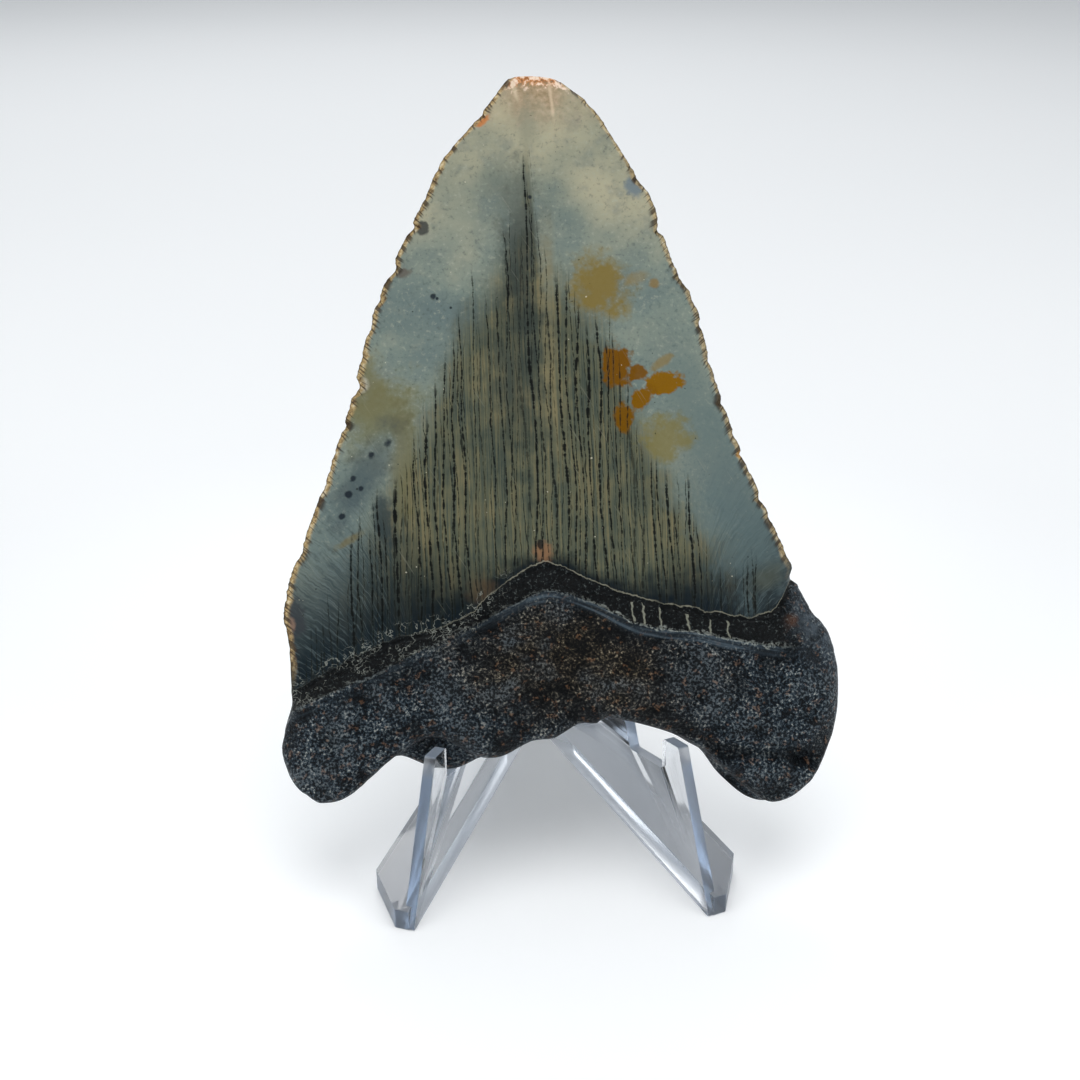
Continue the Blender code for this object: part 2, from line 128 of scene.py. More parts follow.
# Lumps all over, as (size, depth, layer of the noise)
LUMP_GAIN = 1.6
FRONT_LUMPS = [(9.0, 0.9, 0.3), (4.5, 0.7, 4.1), (2.2, 0.32, 8.3), (1.2, 0.14, 12.9)]
BACK_LUMPS = [(8.0, 0.5, 11.3), (4.5, 0.4, 15.9), (2.2, 0.28, 19.3)]
CROWN_LUMPS = [(16.0, 0.3, 7.7), (5.0, 0.06, 9.1)]
SHOULDER_PLACE = (46.0, 25.5, 9.5)
SHOULDER_LUMPS = [(4.0, 1.3, 23.7), (2.2, 0.7, 27.1)]

# Hollow under the left of the root, which takes the top of the left post
HOLLOW_ACROSS = -20.8
HOLLOW_HALF_WIDTH = 8.6
HOLLOW_DROP = 6.0
HOLLOW_STEP = (6.8, 11.4)
SEAT_RISE = 0.27
SEAT_RISE_FROM = 13.0
SEAT_RISE_MOST = 3.0

# Inner edge of the right lobe, where the back layer shows below the front one
LOBE_STEP_ACROSS = 32.0
LOBE_STEP_HALF_WIDTH = 6.5
LOBE_SET_BACK = 1.7

# Fine loft, as (share of the height where the band ends, rows)
ROW_BANDS = [(0.62, 250), (0.80, 70), (0.972, 50), (1.0, 14)]
ARCH_POWER = 5
COLUMNS = 120
COLUMN_CROWDING = 0.6
UNDERSIDE_ROWS = 14

# Stand half: side view of its web, as (distance back, height, corner radius)
WEB_THICKNESS = 2.0
WEB_LEAN = radians(25.3)
POST_FRONT_TOP = (12.9, 28.0)
POST_REAR = 18.2
POST_REAR_TOP = 26.8
SEAT_FRONT_HEIGHT = 20.6
SEAT_REAR = (30.1, 17.8)
REST_TOP = 62.0
REST_TOP_LENGTH = 7.0
REST_REAR_TOP = 60.5
TAIL_END = 82.0
TAIL_HEIGHT = 8.0
FOOT_RADIUS = 0.35
POST_RADIUS = 0.5
NOTCH_RADIUS = 0.7
REST_RADIUS = 2.5
TAIL_RADIUS = 4.0

# Stand half: plan of its foot flange, as distances back and out from the foot of the web
FLANGE_THICKNESS = 3.9
FLANGE_WIDTH = 11.0
FLANGE_FRONT_WIDTH = 3.6
FLANGE_FRONT_SLOPE = 9.6
FLANGE_START = 0.25
FLANGE_END = 66.0
FLANGE_REAR_SLOPE = 6.0
FLANGE_RADIUS = 0.6

# Stand: how the halves stand to each other
HALF_SPREAD = 26.1
HALF_ANGLE = radians(21.3)
LAP_HEIGHT = 12.0
LAP_GAP = 0.3
LAP_OVERSHOOT = 2.0
EDGE_ROUNDING = 0.25
SMOOTH_UP_TO = radians(35.0)
BROAD_FACE = 0.94

# Cutting edge: its lower ends, the heights between which it fades out at the tip, its serrations and scallops
EDGE_BOTTOM_LEFT = 27.0
EDGE_BOTTOM_RIGHT = 34.5
EDGE_TOP = (126.0, 122.0)
SERRATION_PITCH = 1.02
SERRATION_DEPTH = 0.17
SERRATION_POWER = 0.8
SERRATION_WARP = [(4.0, 0.35, 51.0)]
SCALLOPS = [(3.6, 0.55, 31.0), (1.7, 0.3, 35.0)]

# Bevel that the serrations sit on, and the grooves that run in from them. The gain brings their hump to 1
BEVEL_WIDTH = 1.3
BEVEL_DEPTH = 0.5
GROOVE_REACH = 1.6
GROOVE_DEPTH = 0.16
GROOVE_GAIN = 6.75

# Chips out of the cutting edge, as (side, height, half length, depth)
EDGE_CHIPS = [
    (-1, 119.6, 1.0, 0.45), (-1, 99.0, 1.3, 0.5), (-1, 90.9, 2.0, 0.4), (-1, 86.0, 1.2, 0.4),
    (-1, 70.4, 1.9, 0.8), (-1, 63.5, 1.2, 0.6), (-1, 52.5, 1.4, 0.35), (1, 107.4, 2.2, 0.55),
    (1, 97.7, 1.3, 0.5), (1, 89.0, 1.6, 0.5), (1, 80.5, 1.3, 0.35), (1, 66.0, 1.2, 0.4),
    (1, 56.4, 1.0, 0.3), (1, 48.4, 1.2, 0.5),
]

# Small jags of the end of the enamel, as (size, depth, layer of the noise), and of the lip under the front
ENAMEL_JAGS = [(2.6, 0.35, 41.0), (1.1, 0.22, 43.0)]
LIP_JAG_SIZE = 1.8
LIP_JAG_DEPTH = 0.25
LIP_JAG_LAYER = 61.0

# How far below the end of the enamel the tooth's second material begins
SEAM_FALL = 0.9

# Height of the uppermost dark cracks of the enamel, as (across, height)
CRACK_TOPS = [
    (-44.0, 24.0), (-38.8, 32.6), (-32.4, 44.6), (-29.7, 49.8), (-26.9, 55.1), (-24.1, 60.3),
    (-20.4, 67.4), (-18.5, 72.0), (-15.6, 79.8), (-12.8, 85.2), (-9.1, 88.8), (-6.2, 94.2),
    (-3.6, 101.0), (-1.6, 111.0), (-0.1, 92.0), (3.5, 90.3), (6.1, 86.6), (8.6, 82.9), (12.0, 78.3),
    (14.4, 70.1), (17.7, 62.8), (20.1, 57.4), (23.4, 51.0), (26.8, 46.4), (29.2, 42.0), (33.4, 37.5),
    (38.0, 32.0), (42.0, 27.0),
]

# Fan of fine lines in the lower corners of the crown, whose slope grows from the middle out
FAN_FROM = 22.0
FAN_TO = 46.0
FAN_SLOPES = (0.12, 1.4)

# Stains of the enamel: (across, height, half width, half height, turn), colour, strength and softness
STAINS = [
    ((32.5, 50, 7, 17, 20), (84, 101, 103), 0.75, 0.8),
    ((26, 66, 5, 12, 20), (98, 114, 111), 0.6, 0.8),
    ((10.6, 87, 4.6, 5.6, 15), (120, 102, 44), 0.9, 0.5),
    ((13.4, 72.8, 2.7, 3.9, 10), (108, 70, 0), 1, 0.2),
    ((16.6, 71.6, 1.6, 1.5, 0), (108, 70, 0), 0.95, 0.2),
    ((21.4, 69.7, 3.4, 1.9, 12), (124, 86, 0), 1, 0.16),
    ((17.6, 67, 2.6, 1.6, 50), (118, 80, 0), 1, 0.18),
    ((13.7, 63.7, 1.6, 2.3, 0), (108, 72, 0), 1, 0.22),
    ((21.6, 60, 4.4, 4, 0), (118, 108, 56), 0.75, 0.35),
    ((21.6, 73.6, 2.4, 0.8, 35), (130, 104, 40), 0.6, 0.4),
    ((20.5, 87.8, 0.8, 0.9, 0), (128, 100, 44), 0.7, 0.4),
    ((17, 88.8, 2.4, 1, 15), (130, 112, 70), 0.5, 0.5),
    ((-29.6, 65.4, 7, 6, 20), (104, 102, 66), 0.75, 0.6),
    ((-31, 70, 4, 4.5, 20), (108, 104, 70), 0.6, 0.6),
    ((-25.6, 58, 2.2, 9, 0), (104, 98, 62), 0.55, 0.5),
    ((-32.2, 54.5, 3, 9, -32), (60, 74, 80), 0.7, 0.75),
    ((-35, 43.2, 2.6, 0.7, 30), (110, 98, 60), 0.6, 0.5),
    ((-29, 46.2, 1.7, 4.6, 6), (42, 54, 58), 0.8, 0.5),
    ((-3.4, 93, 2.8, 13, 0), (50, 57, 54), 0.7, 0.6),
    ((-5, 74, 4.4, 17, 0), (50, 57, 52), 0.55, 0.7),
    ((-5, 105, 4, 6, 0), (104, 110, 100), 0.5, 0.7),
    ((-45.4, 29.6, 1.8, 2.8, 0), (52, 56, 60), 0.8, 0.4),
    ((-45.9, 28.6, 0.6, 1.1, 0), (150, 120, 100), 0.6, 0.5),
    ((-1.4, 39.6, 1.9, 1.7, 0), (140, 104, 74), 0.75, 0.5),
    ((-1.8, 41.2, 0.5, 0.8, 0), (20, 20, 20), 0.9, 0.3),
    ((-12.5, 33.4, 2, 2.4, 20), (112, 90, 62), 0.3, 0.7),
    ((17.8, 106, 1.6, 1.9, -30), (98, 114, 124), 0.8, 0.45),
    ((-20.8, 99, 1, 1.2, 0), (58, 60, 58), 0.9, 0.3),
    ((-24.6, 90.9, 1.3, 1, 0), (92, 84, 76), 0.8, 0.4),
    ((-32.6, 70.6, 1.2, 1.2, 0), (198, 194, 178), 0.7, 0.4),
    ((35, 56.6, 0.6, 0.7, 0), (206, 140, 60), 1, 0.2),
    ((-9.3, 118.8, 0.8, 1.4, -40), (190, 110, 40), 0.8, 0.4),
    ((38.4, 34, 3, 2, 30), (74, 76, 62), 0.5, 0.6),
    ((-3.4, 123.6, 0.4, 2.8, 13), (206, 190, 162), 0.5, 0.6),
    ((3.1, 121.8, 0.35, 3.2, 4.6), (216, 194, 166), 0.55, 0.6),
    ((-1.5, 117.5, 1.6, 5, 0), (128, 130, 112), 0.6, 0.7),
]

# Dark dots of the enamel, as (across, height, radius)
DOTS = [
    (-28.0, 60.1, 0.95), (-31.0, 58.2, 0.7), (-34.4, 54.0, 0.5), (-33.0, 52.2, 0.45), (-35.2, 51.2, 0.55),
    (-36.5, 47.4, 0.5), (-1.4, 103.8, 0.4), (-19.3, 86.2, 0.45), (-18.6, 85.8, 0.25), (-16.2, 84.0, 0.25),
]

# Pale rungs across the black band, by their place across
RUNGS = [14.0, 16.0, 19.4, 23.8, 27.9, 31.2]

# Brown middle of the root, the painted highlight on its shoulder and a spot of rust, as places like those of
# the stains
BROWN_PLACE = (3.0, 20.5, 21.0, 10.5, -12.0)
SHOULDER_HIGHLIGHT = (47.5, 25.5, 4.5, 7.5, 20.0)
RUST_SPOT = (42.5, 26.3, 1.5, 1.2, 20.0)

# Display colour of the root's darker patches
ROOT_BLACK = (2, 6, 9)

# Materials of the fossil: their shader, relief and gloss, and how depth and face set their noise apart
SHADER = "Principled BSDF"
FOSSIL_BUMP = 0.9
FOSSIL_IOR = 1.5
DEPTH_STRETCH = 0.6
FACE_APART = 40.0

# Clear plastic, whose narrow edges and undersides are duller, and the light paths that it needs
PLASTIC_COLOUR = (0.985, 0.99, 1.0, 1.0)
PLASTIC_BODY = (0.58, 0.71, 0.86, 1.0)
PLASTIC_DENSITY = 28.0
PLASTIC_IOR = 1.49
CLEAR_ROUGHNESS = 0.05
SATIN_ROUGHNESS = 0.3
CLEAR_BOUNCES = 16

# Floor, just below the stand, in metres, with a painted glow that fades out between two distances
FLOOR_LEVEL = -0.1 * MM
FLOOR_HALF = 3.5
GLOW = 0.16
GLOW_REACH = (0.03, 0.22)
GLOW_COLOUR = (0.95, 0.98, 1.0, 1.0)

# Camera, in the stand's frame
CAMERA_PLACE = (-19.2, -207.5, 172.0)
CAMERA_TURN = radians(4.2)
CAMERA_DIP = radians(25.0)
FOCAL_PIXELS = 1484.0
IMAGE_PIXELS = 1080.0
SENSOR = 36.0

# The room is bright all round but for the side in front, above the camera, which the tooth mirrors
ROOM_COLOUR = (0.93, 0.965, 1.0, 1.0)
ROOM_LIGHT = 0.66
DARK_LIGHT = 0.15
DARK_SIDE = (0.05, -0.82, 0.56)
DARK_REACH = (0.3, 0.92)

# Lights, as (name, place, aim, size, power) in metres and watts
LIGHTS = [
    ("above", (0.0, -0.2, 0.9), (0.0, 0.0, 0.0), 0.7, 3.2),
    ("left", (-0.95, -0.55, 0.5), (0.0, 0.0, 0.03), 0.8, 3.6),
    ("right", (0.95, -0.6, 0.45), (0.0, 0.0, 0.03), 0.8, 4.0),
    ("front", (0.25, -1.2, 0.3), (0.0, 0.0, 0.0), 0.8, 0.8),
    ("behind", (-0.1, 1.1, 1.1), (0.0, 0.5, 0.0), 0.8, 5.0),
]


def mix(first, second, share):
    return first + (second - first) * share


def smoothstep(low, high, value):
    """Ease from 0 to 1 as the value passes from low to high."""
    share = np.clip((value - low) / (high - low), 0.0, 1.0)
    return share * share * (3.0 - 2.0 * share)


def through(points, at):
    """Read a smooth line through points whose first numbers run one way."""
    places, values = np.array(sorted(points)).T
    at = np.clip(at, places[0], places[-1])
    index = np.clip(np.searchsorted(places, at) - 1, 0, len(places) - 2)
    before = np.maximum(index - 1, 0)
    after = np.minimum(index + 2, len(places) - 1)
    span = places[index + 1] - places[index]
    share = (at - places[index]) / span
    slope_start = (values[index + 1] - values[before]) / (places[index + 1] - places[before]) * span
    slope_end = (values[after] - values[index]) / (places[after] - places[index]) * span
    late = 3 * share**2 - 2 * share**3
    level = values[index] * (2 * share**3 - 3 * share**2 + 1) + values[index + 1] * late
    return level + slope_start * (share**3 - 2 * share**2 + share) + slope_end * (share**3 - share**2)


def bump(distance, radius):
    """A rounded hill of height 1 that ends at the radius."""
    share = np.minimum(np.abs(distance) / radius, 1.0)
    return (1.0 - share * share) ** 2


def smooth_noise(across, height, size, layer):
    """Smooth noise between about -1 and 1, whose features have the size."""
    across, height = np.broadcast_arrays(across, height)
    places = zip((across / size).ravel().tolist(), (height / size).ravel().tolist())
    return np.array([noise.noise((x, y, layer)) for x, y in places]).reshape(across.shape)


def lumps(across, height, layers):
    """Smooth noise summed from layers of (size, depth, layer)."""
    return sum(LUMP_GAIN * depth * smooth_noise(across, height, size, layer) for size, depth, layer in layers)


def forms(across, height, places):
    """Lone rounded forms of (across, height, radius, depth)."""
    return sum(depth * bump(np.hypot(across - x, height - y), radius) for x, y, radius, depth in places)


def folds(across, height, lines):
    """Rounded grooves along straight lines."""
    total = 0.0
    for start, end, half_width, depth in lines:
        run = np.subtract(end, start)
        share = np.clip(((across - start[0]) * run[0] + (height - start[1]) * run[1]) / (run @ run), 0.0, 1.0)
        away = np.hypot(across - start[0] - share * run[0], height - start[1] - share * run[1])
        total = total + depth * bump(away, half_width)
    return total


def ledges(fall, steps):
    """Steps passed on the way down from the end of the enamel."""
    return sum(depth * smoothstep(start, end, fall) for start, end, depth in steps)


def enamel_end(across):
    """Height of the end of the enamel, with its small jags."""
    return through(ENAMEL_END, across) + lumps(across, 0.0, ENAMEL_JAGS)


def root_share(across, height):
    """0 on the enamel of the crown, 1 on the root."""
    return smoothstep(ROOT_BLEND[0], ROOT_BLEND[1], height - through(ENAMEL_END, across))


def thickness(across, height):
    """Thickness of the tooth away from its edges."""
    lobe = (across / LOBE_REACH) ** 2 * root_share(across, height)
    boss = BOSS_DEPTH * np.exp(-(across**2 + (height - BOSS_HEIGHT) ** 2) / BOSS_RADIUS**2)
    return through(THICKNESS, height) - LOBE_THINNING * lobe + boss


def edge_depth(across, height):
    """Depth at which the front and the back meet along the sides."""
    crown = mix(EDGE_DEPTH_BASE, EDGE_DEPTH_TIP, height / LEFT_SIDE[0][0])
    return mix(crown, ROOT_EDGE_DEPTH, root_share(across, height))


def lip_depth(radius, side, below):
    """How far a face has turned under. below runs 0 to 1 over the lip."""
    turned = 1.0 - np.sqrt(np.maximum(1.0 - below * below, 0.0))
    return radius * turned * (1.0 - np.abs(side) ** LIP_FADE_POWER)


def serration(side, height):
    """How far a side is cut in at a height: 0 at the points of its serrations, 1 in the notches."""
    phase = (height + lumps(height, side * 5.0, SERRATION_WARP)) / SERRATION_PITCH
    return np.abs(np.sin(pi * phase)) ** SERRATION_POWER


def edge_cut(side, height):
    """How far the outline is set in from its smooth line at a height."""
    bottom = np.where(side < 0, EDGE_BOTTOM_LEFT, EDGE_BOTTOM_RIGHT)
    crown = smoothstep(-1.0, 3.0, height - bottom) * smoothstep(*EDGE_TOP, height)
    strength = 0.55 + 0.45 * smooth_noise(height, side * 9.0, 6.0, 55.0)
    cut = SERRATION_DEPTH * strength * serration(side, height) * crown
    for size, depth, layer in SCALLOPS:
        scallop = np.maximum(smooth_noise(height, side * 7.0, size, layer), 0.0)
        cut = cut + depth * scallop * mix(0.7, 1.6, crown)
    for chip_side, place, half_length, depth in EDGE_CHIPS:
        ragged = height - place + 0.3 * smooth_noise(height, side * 3.0, 0.8, 57.0)
        cut = cut + np.where(side == chip_side, depth * bump(ragged, half_length), 0.0)
    return cut


def edge_relief(side, height, distance, root):
    """Bevel and grooves that the serrations leave on a face of the crown, by the distance from its edge."""
    bevel = BEVEL_DEPTH * (1.0 - smoothstep(0.0, BEVEL_WIDTH, distance))
    reach = np.clip(distance / GROOVE_REACH, 0.0, 1.0)
    hat = GROOVE_GAIN * reach * (1.0 - reach) ** 2
    grooves = GROOVE_DEPTH * serration(np.sign(side), height) * hat
    chips = sum(
        1.1 * depth * np.where(np.sign(side) == chip_side, 1.0, 0.0)
        * bump(np.hypot((height - place) * 0.8, distance - 0.5), half_length * 1.15)
        for chip_side, place, half_length, depth in EDGE_CHIPS
    )
    return (bevel + grooves + chips * np.minimum(distance / 0.6, 1.0)) * (1.0 - root)


def front_depth(across, height, side, below, distance):
    """Depth of the front face. side runs -1 to 1 from edge to edge."""
    power, flatness = ROOT_FRONT_POWERS
    root = root_share(across, height)
    crown_side = np.abs(side) ** CROWN_FRONT_POWER
    root_side = 1.0 - (1.0 - np.abs(side) ** power) ** flatness
    turned = mix(crown_side, root_side, root)
    relief = front_relief(across, height, root) * (1.0 - np.abs(side) ** RELIEF_FADE_POWER)
    fine = edge_relief(side, height, distance, root)
    return edge_depth(across, height) * turned + lip_depth(FRONT_LIP_RADIUS, side, below) + relief + fine


def front_roughness(across, height):
    """Lumps and folds of the front of the root, positive into the tooth."""
    shoulder = bump(np.hypot(across - SHOULDER_PLACE[0], height - SHOULDER_PLACE[1]), SHOULDER_PLACE[2])
    rough = lumps(across, height, FRONT_LUMPS) + folds(across, height, FRONT_FOLDS)
    return rough + shoulder * lumps(across, height, SHOULDER_LUMPS)


def front_relief(across, height, root):
    """Ledges, forms and lumps of the front face, positive into the tooth."""
    rough = forms(across, height, FRONT_FORMS) + front_roughness(across, height)
    ledge = ledges(enamel_end(across) - height, FRONT_LEDGES)
    return ledge + mix(lumps(across, height, CROWN_LUMPS), rough, root)


def back_depth(across, height, side, below, distance):
    """Depth of the back face."""
    crown_power, crown_flatness = CROWN_BACK_POWERS
    root_power, root_flatness = ROOT_BACK_POWERS
    root = root_share(across, height)
    lens = (1.0 - np.abs(side) ** crown_power) ** crown_flatness
    round_side = (1.0 - np.abs(side) ** root_power) ** root_flatness
    edge = edge_depth(across, height)
    swell = (thickness(across, height) - edge) * mix(lens, round_side, root)
    relief = back_relief(across, height, root) * (1.0 - np.abs(side) ** RELIEF_FADE_POWER)
    bevel = BEVEL_DEPTH * (1.0 - smoothstep(0.0, BEVEL_WIDTH, distance)) * (1.0 - root)
    grooves = edge_relief(side, height, distance, root) - bevel
    return edge + swell - lip_depth(BACK_LIP_RADIUS, side, below) - relief + bevel - grooves


def back_relief(across, height, root):
    """Ledge, lumps and the nutrient pit of the back face, positive into the tooth."""
    rough = forms(across, height, BACK_FORMS) + lumps(across, height, BACK_LUMPS)
    ledge = ledges(enamel_end(across) - height, BACK_LEDGES)
    return ledge + root * rough


def lower_front(across):
    """Height of the lip under the front face, set back along the inner edge of the right lobe."""
    jags = LIP_JAG_DEPTH * np.abs(smooth_noise(across, 0.0, LIP_JAG_SIZE, LIP_JAG_LAYER))
    set_back = LOBE_SET_BACK * bump(across - LOBE_STEP_ACROSS, LOBE_STEP_HALF_WIDTH)
    return through(LOWER_SIDE, across) + jags + set_back


def lower_back(across):
    """Height of the lip under the back face, which hangs lower behind the hollow."""
    return through(LOWER_SIDE, across) - HOLLOW_DROP * bump(across - HOLLOW_ACROSS, HOLLOW_HALF_WIDTH)


def underside_height(across, depth):
    """Height of the underside: level behind the front lip, then down behind the hollow and up again."""
    step = smoothstep(HOLLOW_STEP[0], HOLLOW_STEP[1], depth)
    rise = np.minimum(SEAT_RISE * np.maximum(depth - SEAT_RISE_FROM, 0.0), SEAT_RISE_MOST)
    return mix(lower_front(across), lower_back(across) + rise, step)


def place_in_outline(column, row, lower_side):
    """Across, height, side and distance from the nearer edge, from the shares across and down."""
    left_height = mix(LEFT_SIDE[0][0], LEFT_SIDE[-1][0], row)
    right_height = mix(RIGHT_SIDE[0][0], RIGHT_SIDE[-1][0], row)
    left_whole = through(LEFT_SIDE, left_height)
    right_whole = through(RIGHT_SIDE, right_height)
    left = left_whole + edge_cut(np.full_like(row, -1.0), left_height)
    right = right_whole - edge_cut(np.full_like(row, 1.0), right_height)
    across = mix(left, right, column)
    side = np.clip(2.0 * (across - left_whole) / (right_whole - left_whole) - 1.0, -1.0, 1.0)
    foot_height = mix(LEFT_SIDE[-1][0], RIGHT_SIDE[-1][0], column)
    arch = lower_side(mix(LEFT_SIDE[-1][1], RIGHT_SIDE[-1][1], column)) - foot_height
    height = mix(left_height, right_height, column) + arch * row**ARCH_POWER
    return across, height, side, np.minimum(across - left, right - across)


def loft_rows():
    """Shares down the tooth at which the loft has a row."""
    rows = [0.0]
    start = 0.0
    for end, count in ROW_BANDS:
        rows += [mix(start, end, (step + 1) / count) for step in range(count)]
        start = end
    return np.array(rows)[:, None]


def loft_columns():
    """Shares across the tooth at which the loft has a column, closer at the sides."""
    even = np.linspace(0.0, 1.0, COLUMNS + 1)
    return mix(even, 0.5 - 0.5 * np.cos(pi * even), COLUMN_CROWDING)[None, :]


def fan_coordinate(across):
    """Height reached by one line of the fan at each place across."""
    steps = np.linspace(0.0, 60.0, 241)
    slope = mix(FAN_SLOPES[0], FAN_SLOPES[1], smoothstep(FAN_FROM, FAN_TO, steps))
    risen = np.concatenate([[0.0], np.cumsum(0.25 / slope[1:])])
    return np.interp(np.abs(across), steps, risen)


def tooth_points():
    """Points of the front, the back and the underside, as (across, height, depth, distance)."""
    rows = loft_rows()
    columns = loft_columns()
    lip_start = ROW_BANDS[-2][0]
    below = np.maximum(rows - lip_start, 0.0) / (1.0 - lip_start)
    across, height, side, distance = place_in_outline(columns, rows, lower_front)
    front = np.stack([across, height, front_depth(across, height, side, below, distance), distance], axis=-1)
    across, height, side, distance = place_in_outline(columns, rows, lower_back)
    back_reach = back_depth(across, height, side, below, distance)
    back = np.stack([across, height, np.maximum(back_reach, front[..., 2] + 0.02), distance], axis=-1)
    back[:, [0, -1]] = front[:, [0, -1]]
    underside = []
    for step in range(1, UNDERSIDE_ROWS):
        share = step / UNDERSIDE_ROWS
        line = mix(front[-1], back[-1], share)
        own_shape = min(1.0, 4.0 * share * (1.0 - share) + 0.2)
        line[1:-1, 1] = mix(line[1:-1, 1], underside_height(line[1:-1, 0], line[1:-1, 2]), own_shape)
        underside.append(line)
    return front, back, np.array(underside)


def link(name, data):
    """A new object with the data, in the scene."""
    made = bpy.data.objects.new(name, data)
    bpy.context.scene.collection.objects.link(made)
    return made


def grid_faces(first, second):
    """Four-sided faces between two lines of point numbers."""
    return np.stack([first[:-1], second[:-1], second[1:], first[1:]], axis=-1)


def make_tooth():
    """The fossil tooth with its serrated edges, ledges, lumps and chips."""
    front, back, underside = tooth_points()
    ring = np.concatenate([front, underside, back[::-1]])
    face = np.repeat([0.0, 0.5, 1.0], [part[..., 0].size for part in (front, underside, back)])
    ids = np.arange(face.size).reshape(ring.shape[:2])
    ids[-len(back):, [0, -1]] = ids[len(front) - 1::-1, [0, -1]]
    ids[len(front):-len(back), [0, -1]] = ids[len(front) - 1, [0, -1]]
    quads = np.concatenate([grid_faces(ids[row - 1], ids[row]) for row in range(len(ids))])
    used, numbers = np.unique(quads, return_inverse=True)
    polygons = [list(dict.fromkeys(quad)) for quad in numbers.reshape(-1, 4).tolist()]
    polygons = [polygon for polygon in polygons if len(polygon) > 2]
    points = ring.reshape(-1, 4)[used]
    face = face[used]

    places = np.column_stack([points[:, 0], points[:, 2], points[:, 1]]) * MM
    lean = np.array(Matrix.Rotation(-TOOTH_LEAN, 3, "X"))
    foot = np.array(STAND_ORIGIN) + np.array(TOOTH_FOOT) * MM
    low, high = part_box("tooth")
    world = np.clip(places @ lean.T + foot, np.array(low), np.array(high))
    mesh = bpy.data.meshes.new("fossil_tooth")
    mesh.from_pydata(world.tolist(), [], polygons)
    mesh.shade_smooth()
    add_measures(mesh, points, face)
    fall = enamel_end(points[:, 0]) - points[:, 1]
    first = [polygon[0] for polygon in polygons]
    mesh.materials.append(enamel_material())
    mesh.materials.append(root_material())
    mesh.polygons.foreach_set("material_index", (fall[first] > SEAM_FALL).astype(np.int32))
    tooth = link("fossil_tooth", mesh)
    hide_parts("tooth")
    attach(tooth, "root")


def add_measures(mesh, points, face):
    """Smooth measures at each point, which the tooth's material reads."""
    across, height, depth, distance = points.T
    enamel = enamel_end(across)
    measures = {
        "across": across,
        "height": height,
        "depth": depth,
        "face": face,
        "edge_distance": distance,
        "fall": enamel - height,
        "band_fall": through(BAND_END, across) - height,
        # Relief depth, which the root's material reads for its painted shade and painted highlights.
        "hollow": mix(front_roughness(across, height), lumps(across, height, BACK_LUMPS), face),
        "crack_fall": through(CRACK_TOPS, across) - height,
        "fan": fan_coordinate(across) - height,
    }
    for name, values in measures.items():
        attribute = mesh.attributes.new(name, "FLOAT", "POINT")
        attribute.data.foreach_set("value", values.astype(np.float32))


def rounded_outline(corners, steps=12):
    """Points round an outline whose corners are (along, up, radius)."""
    points = []
    count = len(corners)
    for index, (along, up, radius) in enumerate(corners):
        corner = Vector((along, up))
        if radius == 0.0:
            points.append(corner)
            continue
        to_last = (Vector(corners[index - 1][:2]) - corner).normalized()
        to_next = (Vector(corners[(index + 1) % count][:2]) - corner).normalized()
        half = to_last.angle(to_next) / 2.0
        middle = corner + (to_last + to_next).normalized() * (radius / sin(half))
        start = corner + to_last * (radius / tan(half)) - middle
        end = corner + to_next * (radius / tan(half)) - middle
        turn = start.angle_signed(end)
        for step in range(steps + 1):
            points.append(middle + Matrix.Rotation(-turn * step / steps, 2) @ start)
    return points


def web_outline():
    """Side view of the web: foot, post, notch, back rest and tail."""
    rest_front = SEAT_REAR[0] + (REST_TOP - SEAT_REAR[1]) * tan(WEB_LEAN)
    return rounded_outline([
        (0.0, 0.0, FOOT_RADIUS),
        (*POST_FRONT_TOP, POST_RADIUS),
        (POST_REAR, POST_REAR_TOP, POST_RADIUS),
        (POST_REAR, SEAT_FRONT_HEIGHT, NOTCH_RADIUS),
        (*SEAT_REAR, NOTCH_RADIUS),
        (rest_front, REST_TOP, REST_RADIUS),
        (rest_front + REST_TOP_LENGTH, REST_REAR_TOP, REST_RADIUS),
        (TAIL_END, TAIL_HEIGHT, TAIL_RADIUS),
        (TAIL_END, 0.0, FOOT_RADIUS),
    ])


def flange_outline():
    """Plan of the foot flange, its inner edge inside the web."""
    inner = WEB_THICKNESS / 2.0
    return rounded_outline([
        (FLANGE_START, inner, 0.0),
        (FLANGE_START, FLANGE_FRONT_WIDTH, FLANGE_RADIUS),
        (FLANGE_FRONT_SLOPE, FLANGE_WIDTH, FLANGE_RADIUS),
        (FLANGE_END - FLANGE_REAR_SLOPE, FLANGE_WIDTH, FLANGE_RADIUS),
        (FLANGE_END, inner, 0.0),
    ])


def extruded(name, outline, thick, matrix):
    """A flat outline in its own XY plane, made thick along its Z."""
    mesh = bmesh.new()
    lower = [mesh.verts.new((x * MM, y * MM, -thick * MM / 2.0)) for x, y in outline]
    upper = [mesh.verts.new((x * MM, y * MM, thick * MM / 2.0)) for x, y in outline]
    mesh.faces.new(lower)
    mesh.faces.new(upper)
    for index in range(len(outline)):
        last = index - 1
        mesh.faces.new((lower[last], lower[index], upper[index], upper[last]))
    mesh.transform(matrix)
    bmesh.ops.recalc_face_normals(mesh, faces=mesh.faces[:])
    data = bpy.data.meshes.new(name)
    mesh.to_mesh(data)
    mesh.free()
    return link(name, data)


def half_frame(side):
    """From (back along the web, out from it, up) of one half to the row frame."""
    along = Vector((-side * sin(HALF_ANGLE), cos(HALF_ANGLE), 0.0))
    out = Vector((side * cos(HALF_ANGLE), sin(HALF_ANGLE), 0.0))
    turned = Matrix((along, out, Vector((0.0, 0.0, 1.0)))).transposed().to_4x4()
    return Matrix.Translation(STAND_ORIGIN + Vector((side * HALF_SPREAD * MM, 0.0, 0.0))) @ turned


